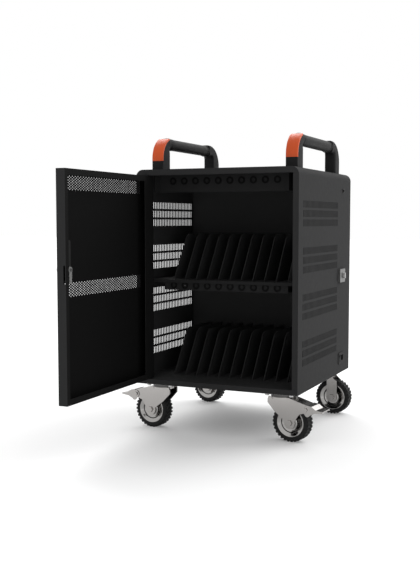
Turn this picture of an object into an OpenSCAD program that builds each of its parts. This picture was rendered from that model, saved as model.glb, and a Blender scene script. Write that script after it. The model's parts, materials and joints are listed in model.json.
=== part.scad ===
// Laptop charging cart: a steel cabinet on castors with slotted bays in front and a power bay behind.
// X runs across the front, Y from front to rear, Z up from the floor.

/* [Cabinet] */
// Width of the cabinet over its side panels
cabinet_w = 565; // [540:1:640]
// Depth of the cabinet from front face to rear face
cabinet_d = 592; // [560:1:680]
// Height of the cabinet without castors and handles
cabinet_h = 711; // [690:1:780]
// Outer bend radius of the two upper edges
corner_r = 25; // [12:1:30]
// Thickness of the side panels, top cover and partition
panel_t = 1.2; // [0.8:0.1:2]
// Thickness of the front and rear frame sheet
frame_t = 1.5; // [1:0.1:2.5]
// Height of the frame's top rail
top_rail = 19; // [16:1:30]
// Height of the frame's bottom rail
bottom_rail = 17; // [14:1:30]
// Width of the frame's stile on the lock side
lock_stile = 19; // [16:1:30]
// Width of the frame's stile on the hinge side
hinge_stile = 13; // [10:1:20]
// Wall of the hollow base
base_t = 1.5; // [1:0.1:3]

/* [Side vents] */
// Width of one vent slot
vent_w = 5; // [3:0.5:8]
// Height of one vent slot
vent_h = 22; // [15:1:25]
// Spacing of the slots along a band
vent_pitch = 12.5; // [10:0.5:16]
// Slots in one band
vent_count = 31; // [20:1:31]
// Spacing of the bands in a group
band_pitch = 29.5; // [27:0.5:34]
// Bands in one group
band_count = 3; // [2:1:3]
// Spacing of the groups down the panel
group_pitch = 147; // [120:1:150]
// Groups on one panel
group_count = 4; // [3:1:4]
// Front face to the first slot
vent_front = 46; // [38:1:60]
// Top of the cabinet to the first band
vent_top = 104; // [80:1:120]

/* [Doors] */
// Thickness of a door
door_t = 31; // [28:1:36]
// Sheet of a door
door_sheet = 1.2; // [0.8:0.1:2]
// Outer bend radius of a door's upright edges
door_bend = 3; // [2.5:0.1:4]
// Gap round a door at its top, bottom and free edge
door_gap = 2; // [1.5:0.1:3]
// Gap at a door's hinge edge
hinge_gap = 4; // [4:0.1:6]
// Closed door's inner face to the end of the frame's return
return_gap = 3; // [2:0.5:6]
// Hinge edge of a door to its pivot
pivot_in = 14; // [12:0.5:16]
// Outer face of a door to its pivot
pivot_back = 11; // [9:0.5:11.5]
// How far the front door stands open, in degrees
door_open = 90; // [0:1:105]
// Radius of a hinge pin
hinge_pin_r = 5; // [4:0.5:6]
// Length of a hinge bush
bush_len = 14; // [10:1:20]
// Outer radius of a hinge bush
bush_r = 8; // [7.5:0.1:9]
// Width of the inner lip on the hinge side
lip_hinge = 58; // [40:1:70]
// Width of the inner lip on the free side
lip_free = 15; // [10:1:17]
// Height of the inner lip at top and bottom
lip_ends = 18; // [10:1:25]
// Diameter of a perforation
hole_d = 4; // [3:0.5:6]
// Spacing of the perforations along a row
hole_pitch = 14.8; // [12:0.2:20]
// Spacing of the rows of perforations
hole_row = 3.8; // [3.6:0.1:6]
// Edge of the door to a perforated band
hole_margin = 39; // [30:1:60]
// Height of a perforated band
hole_band_h = 42; // [30:1:50]
// Top of the door to the upper perforated band
hole_band_top = 17; // [17:1:40]
// Bottom of the door to the lower perforated band
hole_band_low = 305; // [260:1:310]

/* [Front lock] */
// Free edge of the door to the lock spindle
spindle_in = 30.5; // [28:0.5:34]
// Bottom of the door to the lock spindle
spindle_up = 386; // [370:1:420]
// Radius of the lock spindle
spindle_r = 5; // [4:0.5:6]
// Width of the lock body inside the door
lock_w = 26; // [22:1:28]
// Height of the lock body above the spindle
lock_rise = 84; // [60:1:100]
// Height of the lock body below the spindle
lock_drop = 33; // [25:1:34]
// Depth of the lock body
lock_d = 18; // [14:1:20]
// Overhang of the outer lock plate round the lock body
plate_rim = 4; // [2:1:6]
// Thickness of the outer lock plate
plate_t = 2.5; // [2:0.5:4]
// Length of the latch cam from the spindle
cam_len = 40; // [37:1:44]
// Width of the latch cam
cam_w = 13; // [12:1:16]
// Thickness of the latch cam
cam_t = 3; // [2:0.5:4]
// Gap from the lock body to the latch cam
cam_gap = 4.8; // [3:0.1:5]
// Room round the latch cam where it passes the door's edge
cam_room = 1.5; // [1:0.1:2]
// Length of the lever from the spindle
lever_len = 96; // [70:1:110]
// Radius of the lever's hub
lever_hub_r = 13; // [12:0.5:14]
// Thickness of the lever's arm
lever_t = 6; // [5:0.5:6.5]
// Height of the lever's hub over the plate
lever_hub_h = 8.5; // [8:0.5:10]
// Radius of the key plug
plug_r = 5; // [4:0.5:6]

/* [Bays] */
// Laptop slots in one row
slot_count = 10; // [8:1:10]
// Side of the cabinet to the outer divider of a row
row_side = 77.5; // [70:0.5:100]
// Thickness of a divider
divider_t = 3; // [2:0.5:5]
// Height of a divider
divider_h = 152; // [120:1:170]
// Front face of the cabinet to a divider's foot
divider_front = 126; // [115:1:150]
// How far a divider's front edge leans back
divider_lean = 106; // [60:1:120]
// Rounding of a divider's upper front corner
divider_r = 40; // [20:1:60]
// Underside of the cabinet to the top of the middle shelf
shelf_up = 346; // [320:1:380]
// Thickness of the middle shelf
shelf_t = 1.5; // [1:0.1:2.5]
// Height of the shelf's front lip
shelf_lip = 10; // [8:1:16]
// Front face of the cabinet to the shelf's edge and the cable bars
bar_front = 80; // [60:1:100]
// Thickness of a cable bar
bar_t = 1.5; // [1:0.1:2.5]
// Height of the cable bar under the top cover
top_bar_h = 72; // [60:1:80]
// Top cover to the holes of the upper cable bar
top_hole_drop = 35; // [30:1:40]
// Depth of the flange that carries the upper cable bar
top_bar_flange = 25; // [15:1:40]
// Side of the cabinet to an end of the upper cable bar
top_bar_side = 47.5; // [42:0.5:60]
// Depth of the upper cable bar's ends, which are bent to the front
top_bar_ends = 35; // [20:1:38]
// Height of the cable bar under the shelf
shelf_bar_h = 33; // [30:1:45]
// Shelf's underside to the holes of the lower cable bar
shelf_hole_drop = 17; // [16:0.5:19]
// Spare width of a cable bar beyond its outer holes
bar_spare = 36; // [20:1:45]
// Radius of a grommet's cable hole
grommet_r = 6.5; // [5:0.5:8]
// Wall of a grommet inside its hole
grommet_wall = 2.5; // [1.5:0.1:2.5]
// Width of a grommet's rim round its hole
grommet_rim = 3; // [1.5:0.1:3]
// Thickness of a grommet's rim
grommet_rim_t = 2; // [1:0.1:3]

/* [Power bay] */
// Rear face of the cabinet to the partition
bay_depth = 152; // [140:1:154]
// Width of a cable slot through the partition
pass_w = 400; // [200:1:420]
// Height of a cable slot through the partition
pass_h = 28; // [20:1:30]
// Underside of the roof or the shelf to the cable slot below it
pass_drop = 30; // [26:1:34]
// Depth of a power strip
strip_d = 38; // [30:1:44]
// Height of a power strip
strip_h = 48; // [44:1:60]
// Spare length of a power strip beyond its outer outlets
strip_spare = 24; // [22:1:30]
// Gap between the floor of a bay and its power strip
strip_gap = 180; // [170:1:200]
// Gap between two outlets
outlet_gap = 5; // [4:0.5:8]
// Edge of a power strip above and below its outlets
outlet_edge = 6; // [4:0.5:8]
// Height of an outlet over its strip
outlet_t = 3; // [2:0.5:5]

/* [Side fittings] */
// Rear face of the cabinet to the middle of the side lock
side_lock_back = 120; // [116:1:122]
// Underside of the cabinet to the side lock
side_lock_up = 350; // [330:1:360]
// Length of the side lock's block
side_lock_w = 63; // [50:1:64]
// Height of the side lock's block
side_lock_h = 47; // [40:1:55]
// Height of the block over the panel
side_lock_t = 8; // [6:0.5:12]
// Radius of the lock's knob
knob_r = 10; // [8:0.5:12]
// Height of the knob over the block
knob_h = 7; // [6:0.5:12]
// Middle of the block to the knob
knob_shift = 8; // [0:0.5:10]
// Radius of the knob's spindle
knob_spindle_r = 5; // [4:0.5:6]
// Thickness of the hook and of its keeper
hook_t = 3; // [2:0.5:4]
// Width of the hook's bar
hook_bar = 12; // [10:0.5:14]
// Spare gap between hook and keeper pin
hook_gap = 0.6; // [0.4:0.1:1]
// Radius of the keeper pin
keeper_r = 4; // [3:0.5:5]
// Keeper pin to the inner edge of the rear door
keeper_in = 13; // [12:0.5:20]
// Free edge of the rear door to the hook
hook_in = 8; // [6:0.5:12]
// How far the hook is turned up, in degrees
hook_open = 80; // [0:1:80]
// Rear face of the cabinet to the power inlet
inlet_back = 106; // [100:1:108]
// Underside of the cabinet to the power inlet
inlet_up = 53; // [48:1:70]
// Length of the inlet's bezel
inlet_w = 69; // [66:1:76]
// Height of the inlet's bezel
inlet_h = 41; // [38:1:50]
// Thickness of the inlet's bezel
inlet_t = 2.5; // [1.5:0.5:4]
// Rim of the bezel round the panel cut-out
inlet_rim = 5; // [4:0.5:6]
// Depth of the inlet's body behind the panel
inlet_d = 34; // [30:1:45]
// Length of the socket
socket_w = 27; // [25:0.5:28]
// Height of the socket
socket_h = 20; // [18:0.5:21]
// Depth of the socket
socket_d = 19; // [16:0.5:21]
// Middle of the bezel to the socket
socket_shift = 9; // [8:0.5:10]
// Middle of the bezel to the rocker
rocker_shift = 19; // [18:0.5:20]
// Length of the rocker
rocker_w = 9; // [8:0.5:10]
// Height of the rocker
rocker_h = 25; // [20:0.5:26]
// Tilt of the rocker to either side, in degrees
rocker_tilt = 7; // [4:1:8]
// Rear face of the cabinet to the push button
button_back = 99; // [80:1:110]
// Top of the cabinet to the push button
button_drop = 62; // [50:1:80]
// Radius of the push button
button_r = 5; // [4:0.5:6]
// Travel of the push button
button_travel = 2; // [1:0.5:3]
// Width of the push button's ring
button_ring = 2.2; // [2:0.1:3]
// Length of the push button's neck behind the panel
button_neck = 8; // [6:0.5:12]

/* [Handles] */
// Side of the cabinet to the middle of a handle
handle_side = 46.5; // [46:0.5:60]
// Width of a handle's elbow
handle_w = 40; // [40:1:42]
// Front face of the cabinet to a handle
handle_front = 64; // [50:1:80]
// Length of a handle
handle_len = 474; // [400:1:480]
// Depth of a handle's post
post_d = 56; // [45:1:58]
// Height of a handle over the cabinet
handle_h = 113; // [105:1:125]
// Outer radius of an elbow
elbow_r = 75; // [70:1:80]
// Inner radius of an elbow
elbow_in_r = 12; // [6:1:16]
// Length of an elbow from its outer face
elbow_len = 103; // [100:1:120]
// Height of an elbow's collar
collar_h = 43; // [40:1:46]
// Radius of the grip
grip_r = 19; // [16:0.5:19]
// Depth of the grip's seat in an elbow
grip_seat = 25; // [15:1:30]
// Thickness of the coloured inlay
accent_t = 6; // [3:0.5:8]
// Arc of the coloured inlay, in degrees
accent_arc = 66; // [60:1:88]
// Radius of a handle screw
handle_screw_r = 4; // [3:0.5:4]
// Length of a handle screw in the post
handle_screw_len = 22; // [15:1:25]

/* [Castors] */
// Height of a castor from floor to plate
castor_h = 156; // [150:1:165]
// Diameter of a wheel
wheel_d = 125; // [120:1:128]
// Width of a wheel
wheel_w = 40; // [34:1:42]
// Radius where tyre and rim meet
rim_r = 45; // [40:1:48]
// Depth of the rim's outer ring
rim_ring = 9; // [7:0.5:10]
// Thickness of the rim's web
rim_web = 10; // [8:1:14]
// Radius of a wheel's hub
hub_r = 16; // [14:0.5:18]
// Swivel axis to wheel axle
trail = 38; // [32:1:42]
// Side of the cabinet to the swivel axes
castor_side = 70.5; // [66:0.5:80]
// Front face of the cabinet to the front swivel axes
castor_front = 58; // [56:1:80]
// Rear face of the cabinet to the rear swivel axes
castor_back = 74; // [60:1:90]
// Length of a castor's plate
plate_l = 105; // [100:1:110]
// Width of a castor's plate
plate_w = 80; // [76:1:85]
// Thickness of a castor's plate
plate_h = 4; // [3:0.5:6]
// Long spacing of the plate's holes
bolt_x = 80; // [78:1:82]
// Short spacing of the plate's holes
bolt_y = 60; // [58:1:62]
// Radius of a castor bolt
bolt_r = 4; // [3:0.5:4.5]
// Height of a weld nut in the base
nut_h = 6; // [4:0.5:8]
// Radius of the swivel race
race_r = 36; // [32:1:37]
// Height of the swivel race
race_h = 9.6; // [8:0.1:12]
// Thickness of the fork's crown
crown_t = 6; // [4:0.5:7]
// Radius of the kingpin
kingpin_r = 8; // [6:0.5:9]
// Thickness of a fork cheek
cheek_t = 4; // [3:0.5:5]
// Gap between wheel hub and cheek
hub_gap = 0.5; // [0.3:0.1:1]
// Radius of an axle
axle_r = 6; // [5:0.5:7]
// Radius of the fork's end round the axle
boss_r = 19; // [16:1:20]
// Radius of the fork's ear round the pedal's pivot
ear_r = 10; // [9:0.5:11]
// Swivel axis to the pedal's pivot
pedal_x = 95; // [90:1:100]
// Plate to the pedal's pivot
pedal_drop = 45; // [42:1:48]
// Length of the pedal from its pivot
pedal_len = 57; // [45:1:65]
// Thickness of the pedal's sheet
pedal_t = 2.5; // [2:0.1:3]
// Radius of the pedal's pivot pin
pedal_pin_r = 4; // [3:0.5:5]
// Turn of the front right castor, in degrees
turn_fr = -7; // [-30:1:30]
// Turn of the front left castor, in degrees
turn_fl = -5.5; // [-30:0.5:30]
// Turn of the rear right castor, in degrees
turn_rr = -2.5; // [-30:0.5:30]
// Turn of the rear left castor, in degrees
turn_rl = -10; // [-30:1:30]

/* [Clearances] */
// Running clearance of a shaft in its hole, on the radius
run_fit = 0.05; // [0.02:0.01:0.1]
// Clearance of a screw or plain hole, on the radius
hole_fit = 0.3; // [0.2:0.1:0.6]
// Gap between faces that slide past each other
slide_gap = 0.4; // [0.3:0.1:0.6]

/* [Hidden] */
$fn = 48;

// A hair of extra depth so that cuts pass right through
cut = 1;

// Cabinet faces
x_out = cabinet_w / 2;
x_in = x_out - panel_t;
z_base = castor_h;
z_top = z_base + cabinet_h;
z_roof = z_top - panel_t;
base_h = bottom_rail - frame_t;
z_floor = z_base + base_h;
z_shelf = z_base + shelf_up;
y_part = cabinet_d - bay_depth;
wrap_d = cabinet_d - 2 * frame_t;

// Door openings of the two frames
open_x0 = hinge_stile - x_out;
open_x1 = x_out - lock_stile;
open_z0 = z_base + bottom_rail;
open_z1 = z_top - top_rail;
return_d = door_t + return_gap;

// Doors, in their closed place at the front
door_x0 = open_x0 + hinge_gap;
door_x1 = open_x1 - door_gap;
door_z0 = open_z0 + door_gap;
door_z1 = open_z1 - door_gap;
door_w = door_x1 - door_x0;
door_h = door_z1 - door_z0;
pivot_x = door_x0 + pivot_in;
pivot_y = pivot_back;
pin_collar_h = door_gap - slide_gap;

// The origin stands midway between the open door's free edge and the rear face
door_reach = (door_x1 - pivot_x) * sin(door_open) - pivot_y;
centre_y = (cabinet_d - door_reach) / 2;

// Front lock
lock_x = door_x1 - spindle_in;
lock_z = door_z0 + spindle_up;
cam_y = door_sheet + lock_d + cam_gap;
lever_y = -plate_t - slide_gap;

// Bays
slot_pitch = 2 * (x_out - row_side) / slot_count;
bar_w = (slot_count - 1) * slot_pitch + 2 * bar_spare;
z_top_holes = z_roof - top_hole_drop;
z_shelf_holes = z_shelf - shelf_t - shelf_hole_drop;
shelf_bar_y = bar_front + shelf_t + grommet_rim_t;
lean_angle = atan2(divider_h, divider_lean);
lean_tangent = divider_r / tan((180 - lean_angle) / 2);
strip_w = (slot_count - 1) * slot_pitch + 2 * strip_spare;
outlet_w = slot_pitch - outlet_gap;
outlet_h = strip_h - 2 * outlet_edge;
top_bar_x = x_out - top_bar_side;

// Side fittings
side_lock_y = cabinet_d - side_lock_back;
side_lock_z = z_base + side_lock_up;
knob_y = side_lock_y + knob_shift;
rear_lip_y = cabinet_d - door_t;
keeper_y = rear_lip_y - keeper_in;
hook_x = door_x1 - hook_in - hook_t;
hook_reach = keeper_y - knob_y;
inlet_y = cabinet_d - inlet_back;
inlet_z = z_base + inlet_up;
button_y = cabinet_d - button_back;
button_z = z_top - button_drop;
button_neck_r = button_r + button_ring / 2;

// Handles
handle_x = x_out - handle_side;
handle_mid = handle_front + handle_len / 2;
elbow_z = z_top + handle_h - elbow_r;
grip_z = z_top + handle_h - collar_h / 2;

// Castors: place, turn, and which way the wheel trails
castor_x = x_out - castor_side;
castor_y0 = castor_front;
castor_y1 = cabinet_d - castor_back;
axle_z = wheel_d / 2;
axle_drop = castor_h - axle_z;
hub_w = wheel_w + 3;
cheek_in = hub_w / 2 + hub_gap;
cheek_out = cheek_in + cheek_t;
crown_z = -plate_h - race_h - slide_gap;
pedal_in = cheek_out + slide_gap;
nose_x = pedal_x + 0.3 * ear_r;
nose_z = 1.35 * ear_r - pedal_drop;
pedal_out = pedal_in + pedal_t;

// Finishes
charcoal = "#2b2b2d";
inner_black = "#1d1d1f";
satin_grip = "#343436";
bright_steel = "#c9c8c6";
zinc = "#a9a8a6";
orange = "#e0622a";
tyre_black = "#1b1b1b";
plug_brass = "#b59a58";

// Places a piece in the part's own frame
module in_frame() {
    translate([0, -centre_y, 0]) children();
}

// Extrudes an outline drawn in X and Z along Y
module along_y(y, length) {
    translate([0, y + length, 0]) rotate([90, 0, 0]) linear_extrude(length) children();
}

// Extrudes an outline drawn in Y and Z along X
module along_x(x, length) {
    translate([x, 0, 0]) rotate([90, 0, 90]) linear_extrude(length) children();
}

// Rod along X from x, centred on y and z
module rod_x(x, y, z, r, length) {
    translate([x, y, z]) rotate([0, 90, 0]) cylinder(h = length, r = r);
}

// Rod along Y from y, centred on x and z
module rod_y(x, y, z, r, length) {
    translate([x, y + length, z]) rotate([90, 0, 0]) cylinder(h = length, r = r);
}

// Outline of a rectangle with four round corners, from its lower left corner
module round_rect(w, h, r) {
    translate([r, 0]) square([w - 2 * r, h]);
    translate([0, r]) square([w, h - 2 * r]);
    for (x = [r, w - r], y = [r, h - r]) translate([x, y]) circle(r);
}

// Turns what is drawn for the front round to the rear
module at_rear() {
    translate([0, cabinet_d, 0]) mirror([0, 1, 0]) children();
}

// Sheet metal of the cabinet

// Front view of the cabinet, drawn in by a sheet's thickness
module cabinet_outline(inset = 0) {
    half = x_out - inset;
    r = corner_r - inset;
    translate([-half, z_base + inset]) square([2 * half, cabinet_h - inset - corner_r]);
    translate([corner_r - x_out, z_base + inset]) square([2 * (x_out - corner_r), cabinet_h - 2 * inset]);
    for (s = [-1, 1]) translate([s * (x_out - corner_r), z_top - corner_r]) circle(r);
}

module top_cover() {
    color(charcoal) in_frame() difference() {
        along_y(frame_t, wrap_d) intersection() {
            difference() {
                cabinet_outline();
                cabinet_outline(panel_t);
            }
            translate([-x_out, z_top - corner_r]) square([cabinet_w, corner_r]);
        }
        for (s = [-1, 1]) handle_screw_places(s)
            translate([0, 0, z_roof - cut]) cylinder(h = panel_t + 2 * cut, r = handle_screw_r + hole_fit);
    }
}

// Slots of one side panel, drawn in Y and Z
module vent_slots() {
    first_z = z_top - vent_top - vent_h;
    for (g = [0:group_count - 1], b = [0:band_count - 1], i = [0:vent_count - 1])
        translate([vent_front + i * vent_pitch, first_z - g * group_pitch - b * band_pitch])
            square([vent_w, vent_h]);
}

module side_sheet(x) {
    along_x(x, panel_t) difference() {
        translate([frame_t, z_base]) square([wrap_d, cabinet_h - corner_r]);
        vent_slots();
        children();
    }
}

module left_side_panel() {
    color(charcoal) in_frame() side_sheet(-x_out);
}

module right_side_panel() {
    color(charcoal) in_frame() side_sheet(x_in) {
        translate([inlet_y - inlet_w / 2 + inlet_rim, inlet_z - inlet_h / 2 + inlet_rim])
            square([inlet_w - 2 * inlet_rim, inlet_h - 2 * inlet_rim]);
        translate([button_y, button_z]) circle(button_neck_r + hole_fit);
        translate([knob_y, side_lock_z]) circle(knob_spindle_r + hole_fit);
    }
}

// Hollow base with weld nuts for the castor bolts
module base() {
    color(charcoal) in_frame() difference() {
        union() {
            along_y(frame_t, wrap_d) difference() {
                translate([-x_in, z_base]) square([2 * x_in, base_h]);
                translate([base_t - x_in, z_base + base_t])
                    square([2 * (x_in - base_t), base_h - 2 * base_t]);
            }
            castor_bolt_places() translate([0, 0, base_t]) cylinder(h = nut_h, r = bolt_r + 3);
        }
        castor_bolt_places() translate([0, 0, -cut])
            cylinder(h = base_t + nut_h + 2 * cut, r = bolt_r + run_fit);
    }
}

// Frame round a door opening, with a return behind the opening's edge
module end_frame() {
    difference() {
        union() {
            along_y(0, frame_t) difference() {
                cabinet_outline();
                door_opening();
            }
            along_y(frame_t, return_d) difference() {
                door_opening(frame_t);
                door_opening();
            }
        }
        for (z = [open_z0 - frame_t - cut, open_z1 - cut])
            translate([pivot_x, pivot_y, z]) cylinder(h = frame_t + 2 * cut, r = hinge_pin_r + run_fit);
    }
}

module door_opening(grow = 0) {
    translate([open_x0 - grow, open_z0 - grow])
        square([open_x1 - open_x0 + 2 * grow, open_z1 - open_z0 + 2 * grow]);
}

// Room for the latch cam to swing through the door's edge and the frame
module cam_slot() {
    slot_z = lock_z - cam_len;
    translate([door_x1 - 2 * door_sheet, cam_y - cam_room, slot_z])
        cube([2 * door_sheet + door_gap + 2 * frame_t, cam_t + 2 * cam_room, cam_len + cam_w]);
}

module front_frame() {
    color(charcoal) in_frame() difference() {
        end_frame();
        cam_slot();
    }
}

module rear_frame() {
    color(charcoal) in_frame() at_rear() end_frame();
}

module partition_panel() {
    color(inner_black) in_frame() along_y(y_part, panel_t) difference() {
        intersection() {
            cabinet_outline(panel_t);
            translate([-x_in, z_floor]) square([2 * x_in, z_roof - z_floor]);
        }
        for (z = [z_roof, z_shelf - shelf_t])
            translate([-pass_w / 2, z - pass_drop - pass_h]) round_rect(pass_w, pass_h, pass_h / 4);
    }
}

// Bays and cable bars

module middle_shelf() {
    color(inner_black) in_frame() {
        translate([-x_in, bar_front, z_shelf - shelf_t]) cube([2 * x_in, y_part - bar_front, shelf_t]);
        translate([-x_in, bar_front, z_shelf - shelf_lip]) cube([2 * x_in, shelf_t, shelf_lip]);
    }
}

// Places one piece at each cable hole of a bar
module at_slots() {
    for (i = [0:slot_count - 1]) translate([(i - (slot_count - 1) / 2) * slot_pitch, 0, 0]) children();
}

// Plate of a cable bar with its row of holes
module cable_plate(w, y, z, h, hole_z) {
    along_y(y, bar_t) difference() {
        translate([-w / 2, z]) square([w, h]);
        for (i = [0:slot_count - 1])
            translate([(i - (slot_count - 1) / 2) * slot_pitch, hole_z]) circle(grommet_r + grommet_wall);
    }
}

module top_cable_bar() {
    color(inner_black) in_frame() {
        cable_plate(2 * top_bar_x, bar_front, z_roof - top_bar_h, top_bar_h, z_top_holes);
        translate([-bar_w / 2, bar_front - top_bar_flange, z_roof - bar_t])
            cube([bar_w, top_bar_flange + bar_t, bar_t]);
        for (x = [-top_bar_x, top_bar_x - bar_t])
            translate([x, bar_front - top_bar_ends, z_roof - top_bar_h])
                cube([bar_t, top_bar_ends + bar_t, top_bar_h]);
    }
}

module shelf_cable_bar() {
    color(inner_black) in_frame()
        cable_plate(bar_w, shelf_bar_y, z_shelf - shelf_t - shelf_bar_h, shelf_bar_h, z_shelf_holes);
}

// Rubber grommet on a plate that starts at y
module grommet(y, z) {
    neck_r = grommet_r + grommet_wall - run_fit;
    rim_r_out = grommet_r + grommet_wall + grommet_rim;
    translate([0, y - grommet_rim_t, z]) rotate([-90, 0, 0]) rotate_extrude() {
        translate([grommet_r, 0]) square([neck_r - grommet_r, bar_t + 2 * grommet_rim_t]);
        for (v = [0, bar_t + grommet_rim_t])
            translate([grommet_r, v]) square([rim_r_out - grommet_r, grommet_rim_t]);
    }
}

module top_grommets() {
    color(tyre_black) in_frame() at_slots() grommet(bar_front, z_top_holes);
}

module shelf_grommets() {
    color(tyre_black) in_frame() at_slots() grommet(shelf_bar_y, z_shelf_holes);
}

// Upright divider with a leaning front edge and a round upper corner, drawn in Y and Z
module divider_outline() {
    back = y_part - divider_front;
    foot_x = lean_tangent * cos(lean_angle);
    foot_z = lean_tangent * sin(lean_angle);
    polygon([
        [0, 0], [divider_lean - foot_x, divider_h - foot_z],
        [divider_lean + lean_tangent, divider_h], [back, divider_h], [back, 0]
    ]);
    translate([divider_lean + lean_tangent, divider_h - divider_r]) circle(divider_r);
}

module divider_row(z) {
    for (i = [0:slot_count])
        translate([0, divider_front, z])
            along_x((i - slot_count / 2) * slot_pitch - divider_t / 2, divider_t) divider_outline();
}

module upper_dividers() {
    color(inner_black) in_frame() divider_row(z_shelf);
}

module lower_dividers() {
    color(inner_black) in_frame() divider_row(z_floor);
}

// Power bay

// Stands what is drawn on the partition at the height of each power strip
module at_strips() {
    for (z = [z_floor + strip_gap, z_shelf + strip_gap])
        translate([0, y_part + panel_t, z]) children();
}

module power_strips() {
    color(satin_grip) in_frame() at_strips()
        translate([-strip_w / 2, 0, 0]) cube([strip_w, strip_d, strip_h]);
}

// Outlet with two blade slots and an earth hole in its rear face
module outlet() {
    depth = outlet_t + 2 * cut;
    blade_z = outlet_h * 0.6;
    blade_h = outlet_h * 0.22;
    blade_t = outlet_w * 0.07;
    blade_x = outlet_w * 0.18;
    difference() {
        translate([-outlet_w / 2, 0, 0]) cube([outlet_w, outlet_t, outlet_h]);
        for (s = [-1, 1])
            translate([s * blade_x - blade_t / 2, -cut, blade_z]) cube([blade_t, depth, blade_h]);
        rod_y(0, -cut, outlet_h / 3, blade_t, depth);
    }
}

module outlets() {
    color(inner_black) in_frame() at_strips() at_slots()
        translate([0, strip_d, outlet_edge]) outlet();
}

// Side fittings

// Cavity of the socket: a rectangle with two cut corners, drawn in Y and Z
module socket_outline() {
    c = socket_h / 4;
    polygon([
        [-socket_w / 2, socket_h / 2], [-socket_w / 2, c - socket_h / 2], [c - socket_w / 2, -socket_h / 2],
        [socket_w / 2 - c, -socket_h / 2], [socket_w / 2, c - socket_h / 2], [socket_w / 2, socket_h / 2]
    ]);
}

module inlet_housing() {
    body_w = inlet_w - 2 * inlet_rim - 2 * hole_fit;
    body_h = inlet_h - 2 * inlet_rim - 2 * hole_fit;
    color(tyre_black) in_frame() translate([x_out, inlet_y, inlet_z]) difference() {
        union() {
            along_x(0, inlet_t)
                translate([-inlet_w / 2, -inlet_h / 2]) round_rect(inlet_w, inlet_h, inlet_rim);
            along_x(-inlet_d, inlet_d + inlet_t / 2)
                translate([-body_w / 2, -body_h / 2]) square([body_w, body_h]);
        }
        along_x(inlet_t - socket_d, socket_d + cut) translate([socket_shift, 0]) socket_outline();
        along_x(inlet_t - socket_d, socket_d + cut)
            translate([-rocker_shift - rocker_w / 2 - slide_gap, -rocker_h / 2 - slide_gap])
                square([rocker_w + 2 * slide_gap, rocker_h + 2 * slide_gap]);
    }
}

module inlet_pins() {
    blade = [13, 2, 4.5];
    spread = socket_w / 4;
    color(plug_brass) in_frame() translate([x_out + inlet_t - socket_d, inlet_y + socket_shift, inlet_z]) {
        for (s = [-1, 1]) translate([0, s * spread - blade[1] / 2, -blade[2] / 2 - 1.5]) cube(blade);
        translate([0, -blade[1] / 2, 1.5]) cube(blade);
    }
}

// Rocker with two faces that meet at a shallow angle, pressed in at its lower end, on a cross pin
module rocker_switch() {
    half = rocker_h / 2 - 2 * slide_gap;
    pin_in = 3;
    rise = pin_in + inlet_t;
    color(inner_black) in_frame() translate([x_out - pin_in, inlet_y - rocker_shift, inlet_z])
        rotate([0, rocker_tilt, 0]) {
            along_y(-rocker_w / 2, rocker_w) polygon([
                [-4, -4], [pin_in, -half], [rise + 1, -half], [rise, 0],
                [rise + 1, half], [pin_in, half], [-4, 4]
            ]);
            rod_y(0, -(rocker_w + slide_gap) / 2, 0, 2, rocker_w + slide_gap);
        }
}

// Ring nut of the push button, through the side panel
module button_ring_bezel() {
    rim_t = 3;
    neck_len = panel_t + button_neck;
    color(zinc) in_frame() translate([x_out, button_y, button_z]) rotate([0, 90, 0]) rotate_extrude() {
        translate([button_r + run_fit, 0]) square([button_ring, rim_t]);
        translate([button_r + run_fit, -neck_len]) square([button_neck_r - button_r, neck_len + rim_t / 2]);
    }
}

module power_button() {
    proud = 3 + button_travel;
    color(satin_grip) in_frame()
        rod_x(x_out - button_neck, button_y, button_z, button_r, button_neck + proud);
}

module side_lock_block() {
    color(bright_steel) in_frame() difference() {
        along_x(x_out, side_lock_t)
            translate([side_lock_y - side_lock_w / 2, side_lock_z - side_lock_h / 2])
                round_rect(side_lock_w, side_lock_h, 3);
        rod_x(x_out - cut, knob_y, side_lock_z, knob_spindle_r + run_fit, side_lock_t + 2 * cut);
    }
}

module side_lock_knob() {
    color(bright_steel) in_frame() {
        difference() {
            rod_x(x_out + side_lock_t + slide_gap, knob_y, side_lock_z, knob_r, knob_h);
            for (s = [-1, 1])
                translate([x_out + side_lock_t + knob_h / 2, knob_y + s * knob_r - 4, side_lock_z - knob_r])
                    cube([knob_h, 8, 2 * knob_r]);
        }
        rod_x(hook_x, knob_y, side_lock_z, knob_spindle_r, x_out + side_lock_t + knob_h / 2 - hook_x);
    }
}

// Hook that drops over the keeper pin of the rear door, turned up when the lock is open
module side_lock_hook() {
    pin_room = keeper_r + hook_gap;
    lip = 6;
    color(bright_steel) in_frame() translate([0, knob_y, side_lock_z]) rotate([hook_open, 0, 0])
        along_x(hook_x, hook_t) difference() {
            union() {
                circle(hook_bar);
                translate([0, pin_room]) square([hook_reach + pin_room + lip, hook_bar]);
                square([hook_reach / 2, hook_bar]);
                translate([hook_reach + pin_room, -keeper_r]) square([lip, hook_bar + keeper_r]);
            }
            circle(knob_spindle_r + run_fit);
        }
}

// Doors

// Plan of a door with its two front corners bent round, drawn in by a sheet's thickness
module door_plan(inset = 0) {
    r = door_bend - inset;
    translate([door_x0 + inset, door_bend]) square([door_w - 2 * inset, door_t - door_bend]);
    translate([door_x0 + door_bend, inset]) square([door_w - 2 * door_bend, door_t - inset]);
    for (x = [door_x0 + door_bend, door_x1 - door_bend]) translate([x, door_bend]) circle(r);
}

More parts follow.
